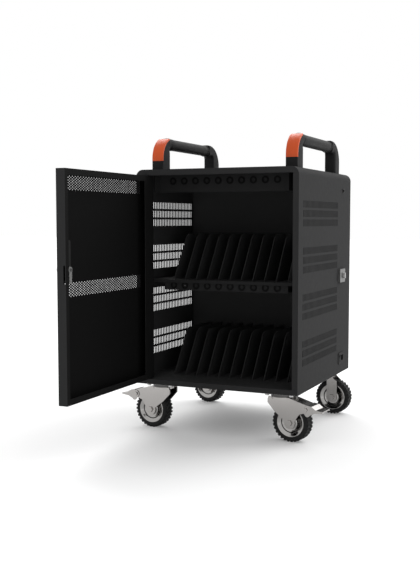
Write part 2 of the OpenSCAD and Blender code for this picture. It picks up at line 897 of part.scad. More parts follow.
// Door folded from one sheet: outer face, side flanges and end flanges; children cut the outer face
module door_pan() {
    along_y(0, door_sheet) difference() {
        translate([door_x0 + door_bend, door_z0]) square([door_w - 2 * door_bend, door_h]);
        children();
    }
    translate([0, 0, door_z0]) linear_extrude(door_h) intersection() {
        difference() {
            door_plan();
            door_plan(door_sheet);
        }
        for (x = [door_x0, door_x1 - door_bend]) translate([x, 0]) square([door_bend, door_t]);
    }
    for (z = [door_z0, door_z1 - door_sheet]) translate([0, 0, z]) linear_extrude(door_sheet) door_plan();
}

// Holes for the hinge pins in a door's end flanges
module door_pin_holes() {
    for (z = [door_z0 - cut, door_z1 - door_sheet - cut])
        translate([pivot_x, pivot_y, z]) cylinder(h = door_sheet + 2 * cut, r = hinge_pin_r + hole_fit);
}

// Staggered round holes of one band, drawn in X and Z
module perforated_band(z) {
    rows = floor((hole_band_h - hole_d) / hole_row + 0.001) + 1;
    cols = floor((door_w - 2 * hole_margin - hole_d) / hole_pitch + 0.001) + 1;
    x0 = (door_x0 + door_x1 - (cols - 1) * hole_pitch) / 2;
    for (j = [0:rows - 1], i = [0:cols - 1 - j % 2])
        translate([x0 + (i + (j % 2) / 2) * hole_pitch, z + hole_d / 2 + j * hole_row]) circle(hole_d / 2);
}

// Swings the front door open about its pivot
module door_pose() {
    translate([pivot_x, pivot_y, 0]) rotate([0, 0, -door_open])
        translate([-pivot_x, -pivot_y, 0]) children();
}

module door_panel() {
    color(charcoal) in_frame() door_pose() difference() {
        door_pan() {
            perforated_band(door_z1 - hole_band_top - hole_band_h);
            perforated_band(door_z0 + hole_band_low);
            translate([lock_x, lock_z]) circle(spindle_r + hole_fit);
        }
        door_pin_holes();
        cam_slot();
    }
}

// Flat lip welded inside the door's edge
module door_inner_frame() {
    color(charcoal) in_frame() door_pose() along_y(door_t - door_sheet, door_sheet) difference() {
        translate([door_x0 + door_sheet, door_z0 + door_sheet])
            square([door_w - 2 * door_sheet, door_h - 2 * door_sheet]);
        translate([door_x0 + lip_hinge, door_z0 + lip_ends])
            square([door_w - lip_hinge - lip_free, door_h - 2 * lip_ends]);
    }
}

// Upper pin hangs from the frame by its head, lower pin stands on its collar
module hinge_pins() {
    head_h = 4;
    pin_in = bush_len - 2;
    translate([pivot_x, pivot_y, 0]) {
        translate([0, 0, open_z1 + frame_t]) cylinder(h = head_h, r = bush_r);
        translate([0, 0, door_z1 - door_sheet - pin_in])
            cylinder(h = open_z1 + frame_t + head_h / 2 - (door_z1 - door_sheet - pin_in), r = hinge_pin_r);
        translate([0, 0, open_z0]) cylinder(h = pin_collar_h, r = bush_r);
        translate([0, 0, open_z0 - frame_t])
            cylinder(h = door_z0 + door_sheet + pin_in - open_z0 + frame_t, r = hinge_pin_r);
    }
}

module front_hinge_pins() {
    color(zinc) in_frame() hinge_pins();
}

module rear_hinge_pins() {
    color(zinc) in_frame() at_rear() hinge_pins();
}

module hinge_bushes() {
    color(inner_black) in_frame() door_pose() bush_pair();
}

module bush_pair() {
    for (z = [door_z0 + door_sheet, door_z1 - door_sheet - bush_len])
        translate([pivot_x, pivot_y, z]) difference() {
            cylinder(h = bush_len, r = bush_r);
            translate([0, 0, -cut]) cylinder(h = bush_len + 2 * cut, r = hinge_pin_r + run_fit);
        }
}

// Outline round the lock, open towards the spindle, drawn in X and Z
module lock_outline(rim = 0) {
    w = lock_w + 2 * rim;
    h = lock_rise + lock_drop + 2 * rim;
    translate([lock_x - w / 2, lock_z - lock_drop - rim]) round_rect(w, h, w / 4);
}

module lock_plate() {
    color(zinc) in_frame() door_pose() along_y(-plate_t, plate_t) difference() {
        lock_outline(plate_rim);
        translate([lock_x, lock_z]) circle(spindle_r + hole_fit);
    }
}

module lock_body() {
    color(zinc) in_frame() door_pose() along_y(door_sheet, lock_d) difference() {
        lock_outline();
        translate([lock_x, lock_z]) circle(spindle_r + run_fit);
    }
}

// Lever with its hub, spindle and a seat for the key plug
module lock_lever() {
    tip_r = 7;
    root_r = 9;
    tip_x = lock_x - lever_len + tip_r;
    plug_seat = lever_hub_h / 2;
    color(bright_steel) in_frame() door_pose() difference() {
        union() {
            rod_y(lock_x, lever_y - lever_hub_h, lock_z, lever_hub_r, lever_hub_h);
            along_y(lever_y - lever_hub_h, lever_t) {
                translate([tip_x, lock_z]) circle(tip_r);
                polygon([
                    [lock_x, lock_z - root_r], [lock_x, lock_z + root_r],
                    [tip_x, lock_z + tip_r], [tip_x, lock_z - tip_r]
                ]);
            }
            rod_y(lock_x, lever_y - 1, lock_z, spindle_r, 1 - lever_y + cam_y + cam_t + 2);
        }
        rod_y(lock_x, lever_y - lever_hub_h - cut, lock_z, plug_r + run_fit, plug_seat + cut);
    }
}

module key_plug() {
    proud = 0.6;
    slot = [1.4, 2.5, 6];
    front = lever_y - lever_hub_h - proud;
    color(zinc) in_frame() door_pose() difference() {
        rod_y(lock_x, front, lock_z, plug_r, lever_hub_h / 2 + proud - slide_gap);
        translate([lock_x - slot[0] / 2, front - cut, lock_z - slot[2] / 2]) cube(slot);
    }
}

module latch_cam() {
    tip_r = cam_w / 4;
    color(bright_steel) in_frame() door_pose() along_y(cam_y, cam_t)
        translate([lock_x, lock_z]) difference() {
            union() {
                circle(cam_w * 0.7);
                translate([-cam_w / 2, tip_r - cam_len]) square([cam_w, cam_len - tip_r]);
                translate([-tip_r, -cam_len]) square([2 * tip_r, cam_len]);
                for (s = [-1, 1]) translate([s * tip_r, tip_r - cam_len]) circle(tip_r);
            }
            circle(spindle_r + run_fit);
        }
}

// Rear door with two bands of slots, closed
module rear_door() {
    color(charcoal) in_frame() at_rear() difference() {
        union() {
            door_pan() {
                for (z = [door_z1 - hole_band_top - hole_band_h, door_z0 + hole_band_low]) rear_slots(z);
            }
            bush_pair();
        }
        door_pin_holes();
    }
}

module rear_slots(z) {
    count = floor((door_w - 2 * hole_margin - vent_w) / vent_pitch) + 1;
    x0 = (door_x0 + door_x1 - (count - 1) * vent_pitch - vent_w) / 2;
    for (i = [0:count - 1]) translate([x0 + i * vent_pitch, z]) square([vent_w, hole_band_h]);
}

// Bracket on the rear door with the pin that the hook holds
module rear_keeper() {
    arm_h = 24;
    arm_x = hook_x - 2 * hook_t;
    pin_len = 4 * hook_t;
    color(bright_steel) in_frame() {
        translate([arm_x, keeper_y - 2 * keeper_r, side_lock_z - arm_h / 2])
            cube([hook_t, cabinet_d - door_sheet - keeper_y + 2 * keeper_r, arm_h]);
        rod_x(arm_x + hook_t / 2, keeper_y, side_lock_z, keeper_r, pin_len);
    }
}

// Handles

// Side view of the front elbow, drawn in Y and Z
module elbow_outline() {
    turn_y = handle_front + elbow_r;
    end_y = handle_front + elbow_len;
    post_y = handle_front + post_d;
    under_z = z_top + handle_h - collar_h;
    difference() {
        union() {
            translate([handle_front, z_top]) square([post_d, elbow_z - z_top]);
            translate([turn_y, z_top + handle_h - collar_h]) square([end_y - turn_y, collar_h]);
            intersection() {
                translate([turn_y, elbow_z]) circle(elbow_r);
                translate([handle_front, elbow_z]) square([elbow_r, elbow_r]);
            }
        }
        translate([post_y + elbow_in_r, z_top - cut]) square([elbow_len, under_z - z_top + cut]);
        translate([post_y, z_top - cut]) square([elbow_len, under_z - elbow_in_r - z_top + cut]);
        translate([post_y + elbow_in_r, under_z - elbow_in_r]) circle(elbow_in_r);
    }
}

// Part of the elbow's bend that the inlay covers, from radius r outwards
module accent_outline(r) {
    far = 2 * elbow_r;
    translate([handle_front + elbow_r, elbow_z]) intersection() {
        difference() {
            circle(elbow_r);
            circle(r);
        }
        polygon([[0, 0], [-far, 0], [-far, far], [-far * cos(accent_arc), far * sin(accent_arc)]]);
    }
}

module handle_screw_places(side) {
    for (y = [handle_front + post_d / 2, handle_front + post_d * 0.85])
        for (v = [y, 2 * handle_mid - y])
            translate([side * handle_x, v, 0]) children();
}

module elbow_pair(side) {
    color(satin_grip) in_frame() difference() {
        along_x(side * handle_x - handle_w / 2, handle_w) {
            difference() {
                elbow_outline();
                accent_outline(elbow_r - accent_t);
            }
            translate([2 * handle_mid, 0]) mirror([1, 0]) elbow_outline();
        }
        rod_y(side * handle_x, handle_front + elbow_len - grip_seat, grip_z, grip_r + run_fit,
              handle_len - 2 * elbow_len + 2 * grip_seat);
        handle_screw_places(side) translate([0, 0, z_top - cut])
            cylinder(h = handle_screw_len + 2 * cut, r = handle_screw_r + run_fit);
    }
}

module left_handle_elbows() {
    elbow_pair(-1);
}

module right_handle_elbows() {
    elbow_pair(1);
}

module grip(side) {
    color(inner_black) in_frame()
        rod_y(side * handle_x, handle_front + elbow_len - grip_seat, grip_z, grip_r,
              handle_len - 2 * elbow_len + 2 * grip_seat);
}

module left_grip() {
    grip(-1);
}

module right_grip() {
    grip(1);
}

module accent(side) {
    color(orange) in_frame() along_x(side * handle_x - handle_w / 2, handle_w)
        accent_outline(elbow_r - accent_t + run_fit);
}

module left_accent() {
    accent(-1);
}

module right_accent() {
    accent(1);
}

// Screws from under the top cover into the posts
module handle_screws() {
    head_h = 5;
    color(zinc) in_frame() for (s = [-1, 1]) handle_screw_places(s) {
        translate([0, 0, z_roof - head_h]) cylinder(h = head_h, r = handle_screw_r + 2.5);
        translate([0, 0, z_roof - head_h / 2])
            cylinder(h = head_h / 2 + panel_t + handle_screw_len, r = handle_screw_r);
    }
}

// Castors, drawn with the plate's upper face at zero and the wheel trailing to +X

module castor_place(x_side, y, turn) {
    translate([x_side * castor_x, y, z_base])
        rotate([0, 0, turn + (x_side < 0 ? 180 : 0)]) children();
}

module plate_place(x_side, y) {
    translate([x_side * castor_x, y, z_base]) children();
}

module plate_places() {
    for (s = [-1, 1], y = [castor_y0, castor_y1]) plate_place(s, y) children();
}

module castor_bolt_places() {
    plate_places() for (x = [-bolt_x, bolt_x], y = [-bolt_y, bolt_y])
        translate([x / 2, y / 2, 0]) children();
}

// Mounting plates with swivel race and kingpin
module castor_plates() {
    head_h = 4;
    pin_end = crown_z - crown_t - slide_gap;
    color(bright_steel) in_frame() plate_places() difference() {
        union() {
            translate([-plate_l / 2, -plate_w / 2, -plate_h]) cube([plate_l, plate_w, plate_h]);
            translate([0, 0, -plate_h - race_h]) cylinder(h = race_h + plate_h / 2, r = race_r);
            translate([0, 0, pin_end - head_h / 2]) cylinder(h = -plate_h - pin_end, r = kingpin_r);
            translate([0, 0, pin_end - head_h]) cylinder(h = head_h, r = kingpin_r + 5);
        }
        for (x = [-bolt_x, bolt_x], y = [-bolt_y, bolt_y]) translate([x / 2, y / 2, -plate_h - cut])
            cylinder(h = plate_h + 2 * cut, r = bolt_r + hole_fit);
    }
}

module castor_bolts() {
    head_h = 5.3;
    color(zinc) in_frame() castor_bolt_places() {
        translate([0, 0, -plate_h - head_h]) cylinder(h = head_h, r = bolt_r * 1.85, $fn = 6);
        translate([0, 0, -plate_h - head_h / 2])
            cylinder(h = plate_h + head_h / 2 + base_t + nut_h, r = bolt_r);
    }
}

// Cheek of a braked fork, drawn in X and Z, with an ear for the pedal
module braked_cheek() {
    ear_z = -pedal_drop;
    front_x = -race_r - 0.3 * ear_r;
    difference() {
        union() {
            translate([trail, -axle_drop]) circle(boss_r);
            translate([pedal_x, ear_z]) circle(ear_r);
            polygon([
                [-race_r, crown_z], [front_x, crown_z - 0.8 * ear_r], [front_x, crown_z - 2 * ear_r],
                [-1.5 * ear_r, -axle_drop + 3.3 * ear_r],
                [trail - boss_r * 0.94, -axle_drop + boss_r * 0.34],
                [trail + boss_r * 0.94, -axle_drop + boss_r * 0.34],
                [pedal_x - 2.3 * ear_r, ear_z - 1.8 * ear_r], [pedal_x + 0.2 * ear_r, ear_z - ear_r],
                [pedal_x + 0.8 * ear_r, ear_z + 0.6 * ear_r], [nose_x, nose_z], [race_r, crown_z]
            ]);
        }
        translate([trail, -axle_drop]) circle(axle_r + run_fit);
        translate([pedal_x, ear_z]) circle(pedal_pin_r + run_fit);
    }
}

// Cheek of a plain fork, a strap down to the axle
module plain_cheek() {
    edge = boss_r / 5;
    difference() {
        union() {
            translate([trail, -axle_drop]) circle(boss_r);
            polygon([
                [edge - race_r, crown_z], [edge - race_r, crown_z - boss_r * 0.3],
                [trail - boss_r, crown_z - boss_r * 0.9], [trail - boss_r, -axle_drop],
                [trail + boss_r, -axle_drop], [trail + boss_r, crown_z - boss_r * 1.2],
                [race_r + edge, crown_z - boss_r * 0.4], [race_r + edge, crown_z]
            ]);
        }
        translate([trail, -axle_drop]) circle(axle_r + run_fit);
    }
}

// Pin along Y through both cheeks with a hexagon head at either end
module cross_pin(x, z, r, head_r, head_h, reach) {
    rod_y(x, -reach - head_h / 2, z, r, 2 * reach + head_h);
    for (y = [-reach - head_h, reach])
        translate([x, y + head_h, z]) rotate([90, 0, 0]) cylinder(h = head_h, r = head_r, $fn = 6);
}

// Fork with its axle, and with a pedal pivot where it has a brake
module fork(braked) {
    root_x = race_r - 0.1 * ear_r;
    color(bright_steel) {
        difference() {
            union() {
                translate([0, 0, crown_z - crown_t]) cylinder(h = crown_t, r = race_r);
                translate([0, -cheek_out, crown_z - crown_t]) cube([race_r, 2 * cheek_out, crown_t]);
                for (y = [-cheek_out, cheek_in])
                    along_y(y, cheek_t) if (braked) braked_cheek(); else plain_cheek();
                if (braked)
                    along_y(-cheek_out, 2 * cheek_out) polygon([
                        [root_x, crown_z], [nose_x, nose_z],
                        [nose_x, nose_z - 0.3 * ear_r], [root_x, crown_z - 0.4 * ear_r]
                    ]);
            }
            translate([0, 0, crown_z - crown_t - cut])
                cylinder(h = crown_t + 2 * cut, r = kingpin_r + run_fit);
        }
        cross_pin(trail, -axle_drop, axle_r, axle_r + 4, 5, cheek_out + run_fit);
        if (braked) cross_pin(pedal_x, -pedal_drop, pedal_pin_r, pedal_pin_r + 3, 3, pedal_out + slide_gap);
    }
}

module fork_front_left() {
    in_frame() castor_place(-1, castor_y0, turn_fl) fork(true);
}

module fork_front_right() {
    in_frame() castor_place(1, castor_y0, turn_fr) fork(true);
}

module fork_rear_left() {
    in_frame() castor_place(-1, castor_y1, turn_rl) fork(false);
}

module fork_rear_right() {
    in_frame() castor_place(1, castor_y1, turn_rr) fork(false);
}

// Wheel centred on its axle, which runs along Y
module wheel_place() {
    translate([trail, 0, -axle_drop]) rotate([90, 0, 0]) children();
}

module rim() {
    ring_in = rim_r - rim_ring;
    spokes = 5;
    color(bright_steel) wheel_place() difference() {
        rotate_extrude() {
            translate([axle_r + run_fit, -hub_w / 2]) square([hub_r - axle_r - run_fit, hub_w]);
            translate([hub_r - cut, -rim_web / 2]) square([ring_in - hub_r + 2 * cut, rim_web]);
            translate([ring_in, 1 - wheel_w / 2]) square([rim_r - ring_in, wheel_w - 2]);
        }
        for (i = [0:spokes - 1])
            rotate(i * 360 / spokes) translate([(hub_r + ring_in) / 2, 0, -wheel_w])
                cylinder(h = 2 * wheel_w, r = (ring_in - hub_r) / 2 - 2.5);
    }
}

module tyre() {
    tread_r = wheel_w * 0.85;
    color(tyre_black) wheel_place() rotate_extrude() intersection() {
        translate([wheel_d / 2 - tread_r, 0]) circle(tread_r);
        translate([rim_r + run_fit, -wheel_w / 2]) square([wheel_d / 2 - rim_r, wheel_w]);
    }
}

module rim_front_left() {
    in_frame() castor_place(-1, castor_y0, turn_fl) rim();
}

module rim_front_right() {
    in_frame() castor_place(1, castor_y0, turn_fr) rim();
}

module rim_rear_left() {
    in_frame() castor_place(-1, castor_y1, turn_rl) rim();
}

module rim_rear_right() {
    in_frame() castor_place(1, castor_y1, turn_rr) rim();
}

module tyre_front_left() {
    in_frame() castor_place(-1, castor_y0, turn_fl) tyre();
}

module tyre_front_right() {
    in_frame() castor_place(1, castor_y0, turn_fr) tyre();
}

module tyre_rear_left() {
    in_frame() castor_place(-1, castor_y1, turn_rl) tyre();
}

module tyre_rear_right() {
    in_frame() castor_place(1, castor_y1, turn_rr) tyre();
}

// Brake pedal: a foot plate with a step, and two side arms that turn on the pivot pin
module pedal() {
    u = ear_r / 10;
    plate = [[5 * u, 14.5 * u], [21 * u, 12 * u], [35 * u, 1.5 * u], [pedal_len, -u]];
    color(bright_steel) translate([pedal_x, 0, -pedal_drop]) difference() {
        union() {
            along_y(-pedal_out, 2 * pedal_out) polygon([
                for (p = plate) p,
                for (i = [3:-1:0]) plate[i] - [i == 1 || i == 2 ? u : 0, pedal_t]
            ]);
            for (y = [-pedal_out, pedal_in]) along_y(y, pedal_t) {
                circle(12 * u);
                translate([6 * u, -14 * u]) circle(8 * u);
                polygon([
                    for (p = plate) p - [0, pedal_t / 4],
                    [pedal_len, -6 * u], [30 * u, -9 * u], [13 * u, -17.5 * u], [-u, -17.5 * u],
                    [-11 * u, -5 * u]
                ]);
            }
        }
        rod_y(0, -pedal_out - cut, 0, pedal_pin_r + run_fit, 2 * pedal_out + 2 * cut);
    }
}

module pedal_left() {
    in_frame() castor_place(-1, castor_y0, turn_fl) pedal();
}

module pedal_right() {
    in_frame() castor_place(1, castor_y0, turn_fr) pedal();
}

top_cover();
left_side_panel();
right_side_panel();
base();
front_frame();
rear_frame();
partition_panel();
middle_shelf();
top_cable_bar();
shelf_cable_bar();
top_grommets();
shelf_grommets();
upper_dividers();
lower_dividers();
power_strips();
outlets();
inlet_housing();
inlet_pins();
rocker_switch();
button_ring_bezel();
power_button();
side_lock_block();
side_lock_knob();
side_lock_hook();
rear_door();
rear_keeper();
rear_hinge_pins();
door_panel();
door_inner_frame();
front_hinge_pins();
hinge_bushes();
lock_plate();
lock_body();
lock_lever();
key_plug();
latch_cam();
left_handle_elbows();
right_handle_elbows();
left_grip();
right_grip();
left_accent();
right_accent();
handle_screws();
castor_plates();
castor_bolts();
fork_front_left();
fork_front_right();
fork_rear_left();
fork_rear_right();
rim_front_left();
rim_front_right();
rim_rear_left();
rim_rear_right();
tyre_front_left();
tyre_front_right();
tyre_rear_left();
tyre_rear_right();
pedal_left();
pedal_right();
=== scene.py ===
"""Looks of a laptop charging cart: coated cabinet, plated castors, lugged tyres and moulded handles."""

import json
import math

import bmesh
import bpy
from bpy.props import FloatProperty, FloatVectorProperty, IntProperty, PointerProperty
from mathutils import Matrix, Vector


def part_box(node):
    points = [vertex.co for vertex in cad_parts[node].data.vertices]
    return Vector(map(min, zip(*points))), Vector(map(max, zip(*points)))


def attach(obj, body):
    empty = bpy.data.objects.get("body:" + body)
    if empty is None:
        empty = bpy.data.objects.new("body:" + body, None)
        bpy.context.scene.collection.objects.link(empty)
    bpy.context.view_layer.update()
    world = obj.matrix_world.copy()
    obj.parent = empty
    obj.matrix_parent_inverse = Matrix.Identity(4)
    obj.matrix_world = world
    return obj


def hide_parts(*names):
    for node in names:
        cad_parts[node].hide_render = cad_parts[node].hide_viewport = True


bl_info = {
    "name": "Laptop charging cart",
    "version": (1, 0, 0),
    "blender": (4, 5, 0),
    "location": "View3D > Sidebar > Cart",
    "description": "Dresses the frame of a laptop charging cart and sets it in a studio",
    "category": "Object",
}

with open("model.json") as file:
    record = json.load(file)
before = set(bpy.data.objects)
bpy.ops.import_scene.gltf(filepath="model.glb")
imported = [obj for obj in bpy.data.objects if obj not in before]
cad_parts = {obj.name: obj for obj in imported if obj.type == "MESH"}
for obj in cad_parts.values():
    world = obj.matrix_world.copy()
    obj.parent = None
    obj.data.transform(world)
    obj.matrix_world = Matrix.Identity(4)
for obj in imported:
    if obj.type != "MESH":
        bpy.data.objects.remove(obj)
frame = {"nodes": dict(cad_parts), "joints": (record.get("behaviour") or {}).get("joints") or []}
NODES = frame["nodes"]
JOINTS = {joint["name"]: joint for joint in frame["joints"]}
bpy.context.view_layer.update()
CORNERS = ("front_left", "front_right", "rear_left", "rear_right")
FULL_TURN = 2 * math.pi


def colour(name, description, default):
    """Colour property of a finish."""
    return FloatVectorProperty(
        name=name, description=description, default=default, subtype="COLOR", size=3, min=0.0, max=1.0
    )


def length(name, description, default):
    """Length property in metres."""
    return FloatProperty(name=name, description=description, default=default, unit="LENGTH", min=0.0)


def angle(name, description, degrees):
    """Angle property, with its default in degrees."""
    return FloatProperty(name=name, description=description, default=math.radians(degrees), subtype="ANGLE")


def level(name, description, default):
    """Strength or tone as a plain number."""
    return FloatProperty(name=name, description=description, default=default, min=0.0)


class CartFinishes(bpy.types.PropertyGroup):
    """Colours of the cart's surfaces."""

    paint: colour("Paint", "Powder coat of the cabinet and the doors", (0.025, 0.025, 0.0254))
    # Darker than the cabinet paint: painted shade on the shelf and cable bars inside the bays.
    interior: colour("Interior", "Powder coat of shelf and cable bars", (0.014, 0.014, 0.0142))
    # Lighter than the shelf and bars: painted light on the dividers inside the bays.
    divider: colour("Dividers", "Powder coat of the dividers", (0.027, 0.027, 0.0273))
    # Lighter than the cabinet paint: painted light on the partition at the back of the dark bays.
    rear_wall: colour("Rear wall", "Powder coat of the partition behind the bays", (0.034, 0.034, 0.0343))
    # Painted shade: the open front door's inner side lies in the cabinet's shade, and this darker flat tone
    # stands in for that shade.
    door_shade: colour("Lining", "Flat coat on the inner side of the front door", (0.006, 0.006, 0.006))
    elbow: colour("Elbows", "Moulded plastic of the handle elbows", (0.014, 0.014, 0.0143))
    grip: colour("Grips", "Moulded plastic of the grips", (0.014, 0.014, 0.014))
    accent: colour("Inlays", "Coloured inlays on the front elbows", (0.58, 0.078, 0.014))
    plated: colour("Plated steel", "Forks, plates and pedals of the castors", (0.385, 0.371, 0.360))
    rim: colour("Wheel rims", "Turned metal of the wheel rims", (0.34, 0.332, 0.324))
    lock: colour("Lock metal", "Satin metal of the locks", (0.16, 0.16, 0.159))
    knob: colour("Lock knob", "Brushed metal of the side lock's knob", (0.38, 0.38, 0.377))
    zinc: colour("Zinc", "Zinc-plated pins and bolts", (0.50, 0.50, 0.50))
    latch: colour("Latch", "Matt zinc of the front door's latch cam", (0.26, 0.26, 0.256))
    # On the swivel races this dark tone is also painted shade of the gap under the castor plates.
    burnished: colour("Burnished steel", "Swivel races, button ring and screws", (0.075, 0.074, 0.073))
    tyre: colour("Tyres", "Rubber of the tyres", (0.008, 0.008, 0.008))
    moulding: colour("Mouldings", "Black plastic of inlet, outlets and rocker", (0.012, 0.012, 0.012))
    grommet: colour("Grommets", "Rubber of the cable grommets", (0.004, 0.004, 0.004))
    membrane: colour("Membranes", "Rubber of the grommets' slit membranes", (0.011, 0.011, 0.011))
    brass: colour("Contacts", "Contact pins of the inlet", (0.72, 0.55, 0.25))


class CartTyre(bpy.types.PropertyGroup):
    """Sizes of a lugged tyre."""

    radius: length("Radius", "Radius over the lugs", 0.0625)
    width: length("Width", "Width over the side walls", 0.040)
    seat: length("Seat radius", "Radius where the tyre meets the rim", 0.045)
    lug_height: length("Lug height", "Height of a lug over the carcass", 0.0019)
    lug_length: length("Lug length", "Length of a lug round the tyre", 0.0072)
    lug_width: length("Lug width", "Width of a lug across the tyre", 0.0180)
    lug_slant: angle("Lug slant", "Turn of a lug on the tread", 18)
    lugs: IntProperty(name="Lugs", description="Lugs in one of the two rows", default=31, min=6)


class CartGrommet(bpy.types.PropertyGroup):
    """Slit membranes of the cable grommets."""

    holes: IntProperty(name="Holes", description="Cable holes in one bar", default=10, min=2)
    petals: IntProperty(name="Petals", description="Petals of one membrane", default=4, min=3)
    radius: length("Radius", "Radius of a membrane", 0.0068)
    thickness: length("Thickness", "Thickness of a membrane", 0.0010)
    slit: length("Slit", "Radius of the hole where the slits meet", 0.0006)


class CartHandle(bpy.types.PropertyGroup):
    """Sizes of a handle's elbows and inlay."""

    rounding: length("Rounding", "Rounding along the edges of a front elbow", 0.0030)
    rear_rounding: length("Rear rounding", "Rounding along the edges of a rear elbow", 0.0080)
    crown_rounding: length("Crown rounding", "Rounding of a front elbow behind its inlay", 0.0130)
    elbow_radius: length("Elbow radius", "Outer radius of an elbow", 0.075)
    inner_radius: length("Inner radius", "Inner radius of an elbow", 0.012)
    elbow_length: length("Elbow length", "Length of an elbow from its outer face", 0.103)
    post_depth: length("Post depth", "Depth of a post from front to rear", 0.056)
    collar_height: length("Collar height", "Height of the collar round the grip", 0.043)
    boss_length: length("Boss length", "Length of the round boss of a front elbow", 0.026)
    rear_boss_length: length("Rear boss length", "Length of the round boss of a rear elbow", 0.014)
    end_rounding: length("End rounding", "Rounding of a rear elbow at its boss", 0.0110)
    seam: length("Seam", "Width of the groove between a rear elbow and its boss", 0.0040)
    inlay: length("Inlay thickness", "Thickness of the coloured inlay", 0.006)
    inlay_drop: length("Inlay drop", "Straight part of the coloured inlay below the elbow's arc", 0.006)
    inlay_arc: angle("Inlay arc", "Arc of the coloured inlay", 70)


class CartStudio(bpy.types.PropertyGroup):
    """Camera and light of the studio."""

    camera_place: FloatVectorProperty(
        name="Camera",
        description="Place of the camera",
        default=(1.1561, -2.665, 0.6992),
        subtype="TRANSLATION",
    )
    camera_yaw: angle("Yaw", "Turn of the camera", 24.08)
    camera_pitch: angle("Pitch", "Tilt of the camera", 4.38)
    lens: FloatProperty(name="Lens", description="Focal length of the camera", default=55.70, unit="CAMERA")
    ambient: level("Ambient", "Soft light from all round", 0.70)
    back_light: level("Back light", "Each of the two soft lights behind", 1.6)
    side_light: level("Side light", "Soft light from the right", 0.3)
    floor_tone: level("Floor", "Tone of the floor", 0.84)
    floor_glow: level("Floor glow", "Lift of the floor towards white", 0.13)


SETTINGS = {
    "cart_finishes": CartFinishes,
    "cart_tyre": CartTyre,
    "cart_grommet": CartGrommet,
    "cart_handle": CartHandle,
    "cart_studio": CartStudio,
}


# Materials


def new_finish(name):
    """Material with its node tree and main shader."""
    material = bpy.data.materials.new(name)
    material.use_nodes = True
    tree = material.node_tree
    return material, tree, tree.nodes["Principled BSDF"]


def grain(tree, scale, detail=2.0, stretch=(1.0, 1.0, 1.0)):
    """Noise on the piece's own coordinates."""
    place = tree.nodes.new("ShaderNodeTexCoord")
    mapping = tree.nodes.new("ShaderNodeMapping")
    mapping.inputs["Scale"].default_value = stretch
    noise = tree.nodes.new("ShaderNodeTexNoise")
    noise.inputs["Scale"].default_value = scale
    noise.inputs["Detail"].default_value = detail
    tree.links.new(place.outputs["Object"], mapping.inputs["Vector"])
    tree.links.new(mapping.outputs["Vector"], noise.inputs["Vector"])
    return noise.outputs["Fac"]


def feed(tree, socket, value):
    """Links an output to a socket, or sets the socket to a plain value."""
    if isinstance(value, bpy.types.NodeSocket):
        tree.links.new(value, socket)
    else:
        socket.default_value = value


def mix_colours(tree, shader, factor, first, second):
    """Base colour that runs from a first to a second colour, each a socket or a plain value."""
    mix = tree.nodes.new("ShaderNodeMix")
    mix.data_type = "RGBA"
    for socket, value in zip([s for s in mix.inputs if s.type == "RGBA"], (first, second)):
        feed(tree, socket, value)
    tree.links.new(factor, mix.inputs["Factor"])
    tree.links.new([s for s in mix.outputs if s.type == "RGBA"][0], shader.inputs["Base Color"])


def mask_above(tree, source, axis, limit):
    """One where a place or a normal lies above a limit along an axis, and nothing elsewhere."""
    place = tree.nodes.new("ShaderNodeTexCoord")
    split = tree.nodes.new("ShaderNodeSeparateXYZ")
    above = tree.nodes.new("ShaderNodeMath")
    above.operation = "GREATER_THAN"
    above.inputs[1].default_value = limit
    tree.links.new(place.outputs[source], split.inputs[0])
    tree.links.new(split.outputs[axis], above.inputs[0])
    return above.outputs[0]


def tint(tree, shader, factor, tone, spread):
    """Base colour that drifts a little over the surface."""
    darker, lighter = ([min(1.0, c * (1 + sign * spread)) for c in tone] + [1.0] for sign in (-1, 1))
    mix_colours(tree, shader, factor, darker, lighter)


def vary_roughness(tree, shader, factor, low, high):
    """Roughness that runs between two values."""
    span = tree.nodes.new("ShaderNodeMapRange")
    span.inputs["From Min"].default_value = 0.3
    span.inputs["From Max"].default_value = 0.7
    span.inputs["To Min"].default_value = low
    span.inputs["To Max"].default_value = high
    tree.links.new(factor, span.inputs["Value"])
    tree.links.new(span.outputs["Result"], shader.inputs["Roughness"])


def emboss(tree, shader, factor, strength, distance):
    """Fine relief of the surface."""
    bump = tree.nodes.new("ShaderNodeBump")
    bump.inputs["Strength"].default_value = strength
    bump.inputs["Distance"].default_value = distance
    tree.links.new(factor, bump.inputs["Height"])
    tree.links.new(bump.outputs["Normal"], shader.inputs["Normal"])


def powder_coat(name, tone, gloss=0.075, rough=0.74):
    """Satin powder coat with a fine orange-peel texture."""
    material, tree, shader = new_finish(name)
    shader.inputs["Specular IOR Level"].default_value = gloss
    tint(tree, shader, grain(tree, scale=7.0, detail=3.0), tone, spread=0.05)
    vary_roughness(tree, shader, grain(tree, scale=60.0), low=rough - 0.03, high=rough + 0.03)
    emboss(tree, shader, grain(tree, scale=900.0, detail=1.0), strength=0.02, distance=0.0002)
    return material


def shade_painted_coat(name, tone, shade_tone, shade_gloss):
    """Powder coat that is flat and darker on the faces that look to +X, as painted shade on the inner side of
    the open front door.
    """
    material = powder_coat(name, tone)
    tree = material.node_tree
    shader = tree.nodes["Principled BSDF"]
    outer = shader.inputs["Base Color"].links[0].from_socket
    # Faces that look to +X get the darker tone: painted shade of the cabinet on the open door's inner side.
    inside = mask_above(tree, "Normal", "X", limit=0.5)
    mix_colours(tree, shader, inside, outer, list(shade_tone) + [1.0])
    gloss = tree.nodes.new("ShaderNodeMapRange")
    gloss.inputs["To Min"].default_value = shader.inputs["Specular IOR Level"].default_value
    gloss.inputs["To Max"].default_value = shade_gloss
    tree.links.new(inside, gloss.inputs["Value"])
    tree.links.new(gloss.outputs["Result"], shader.inputs["Specular IOR Level"])
    return material


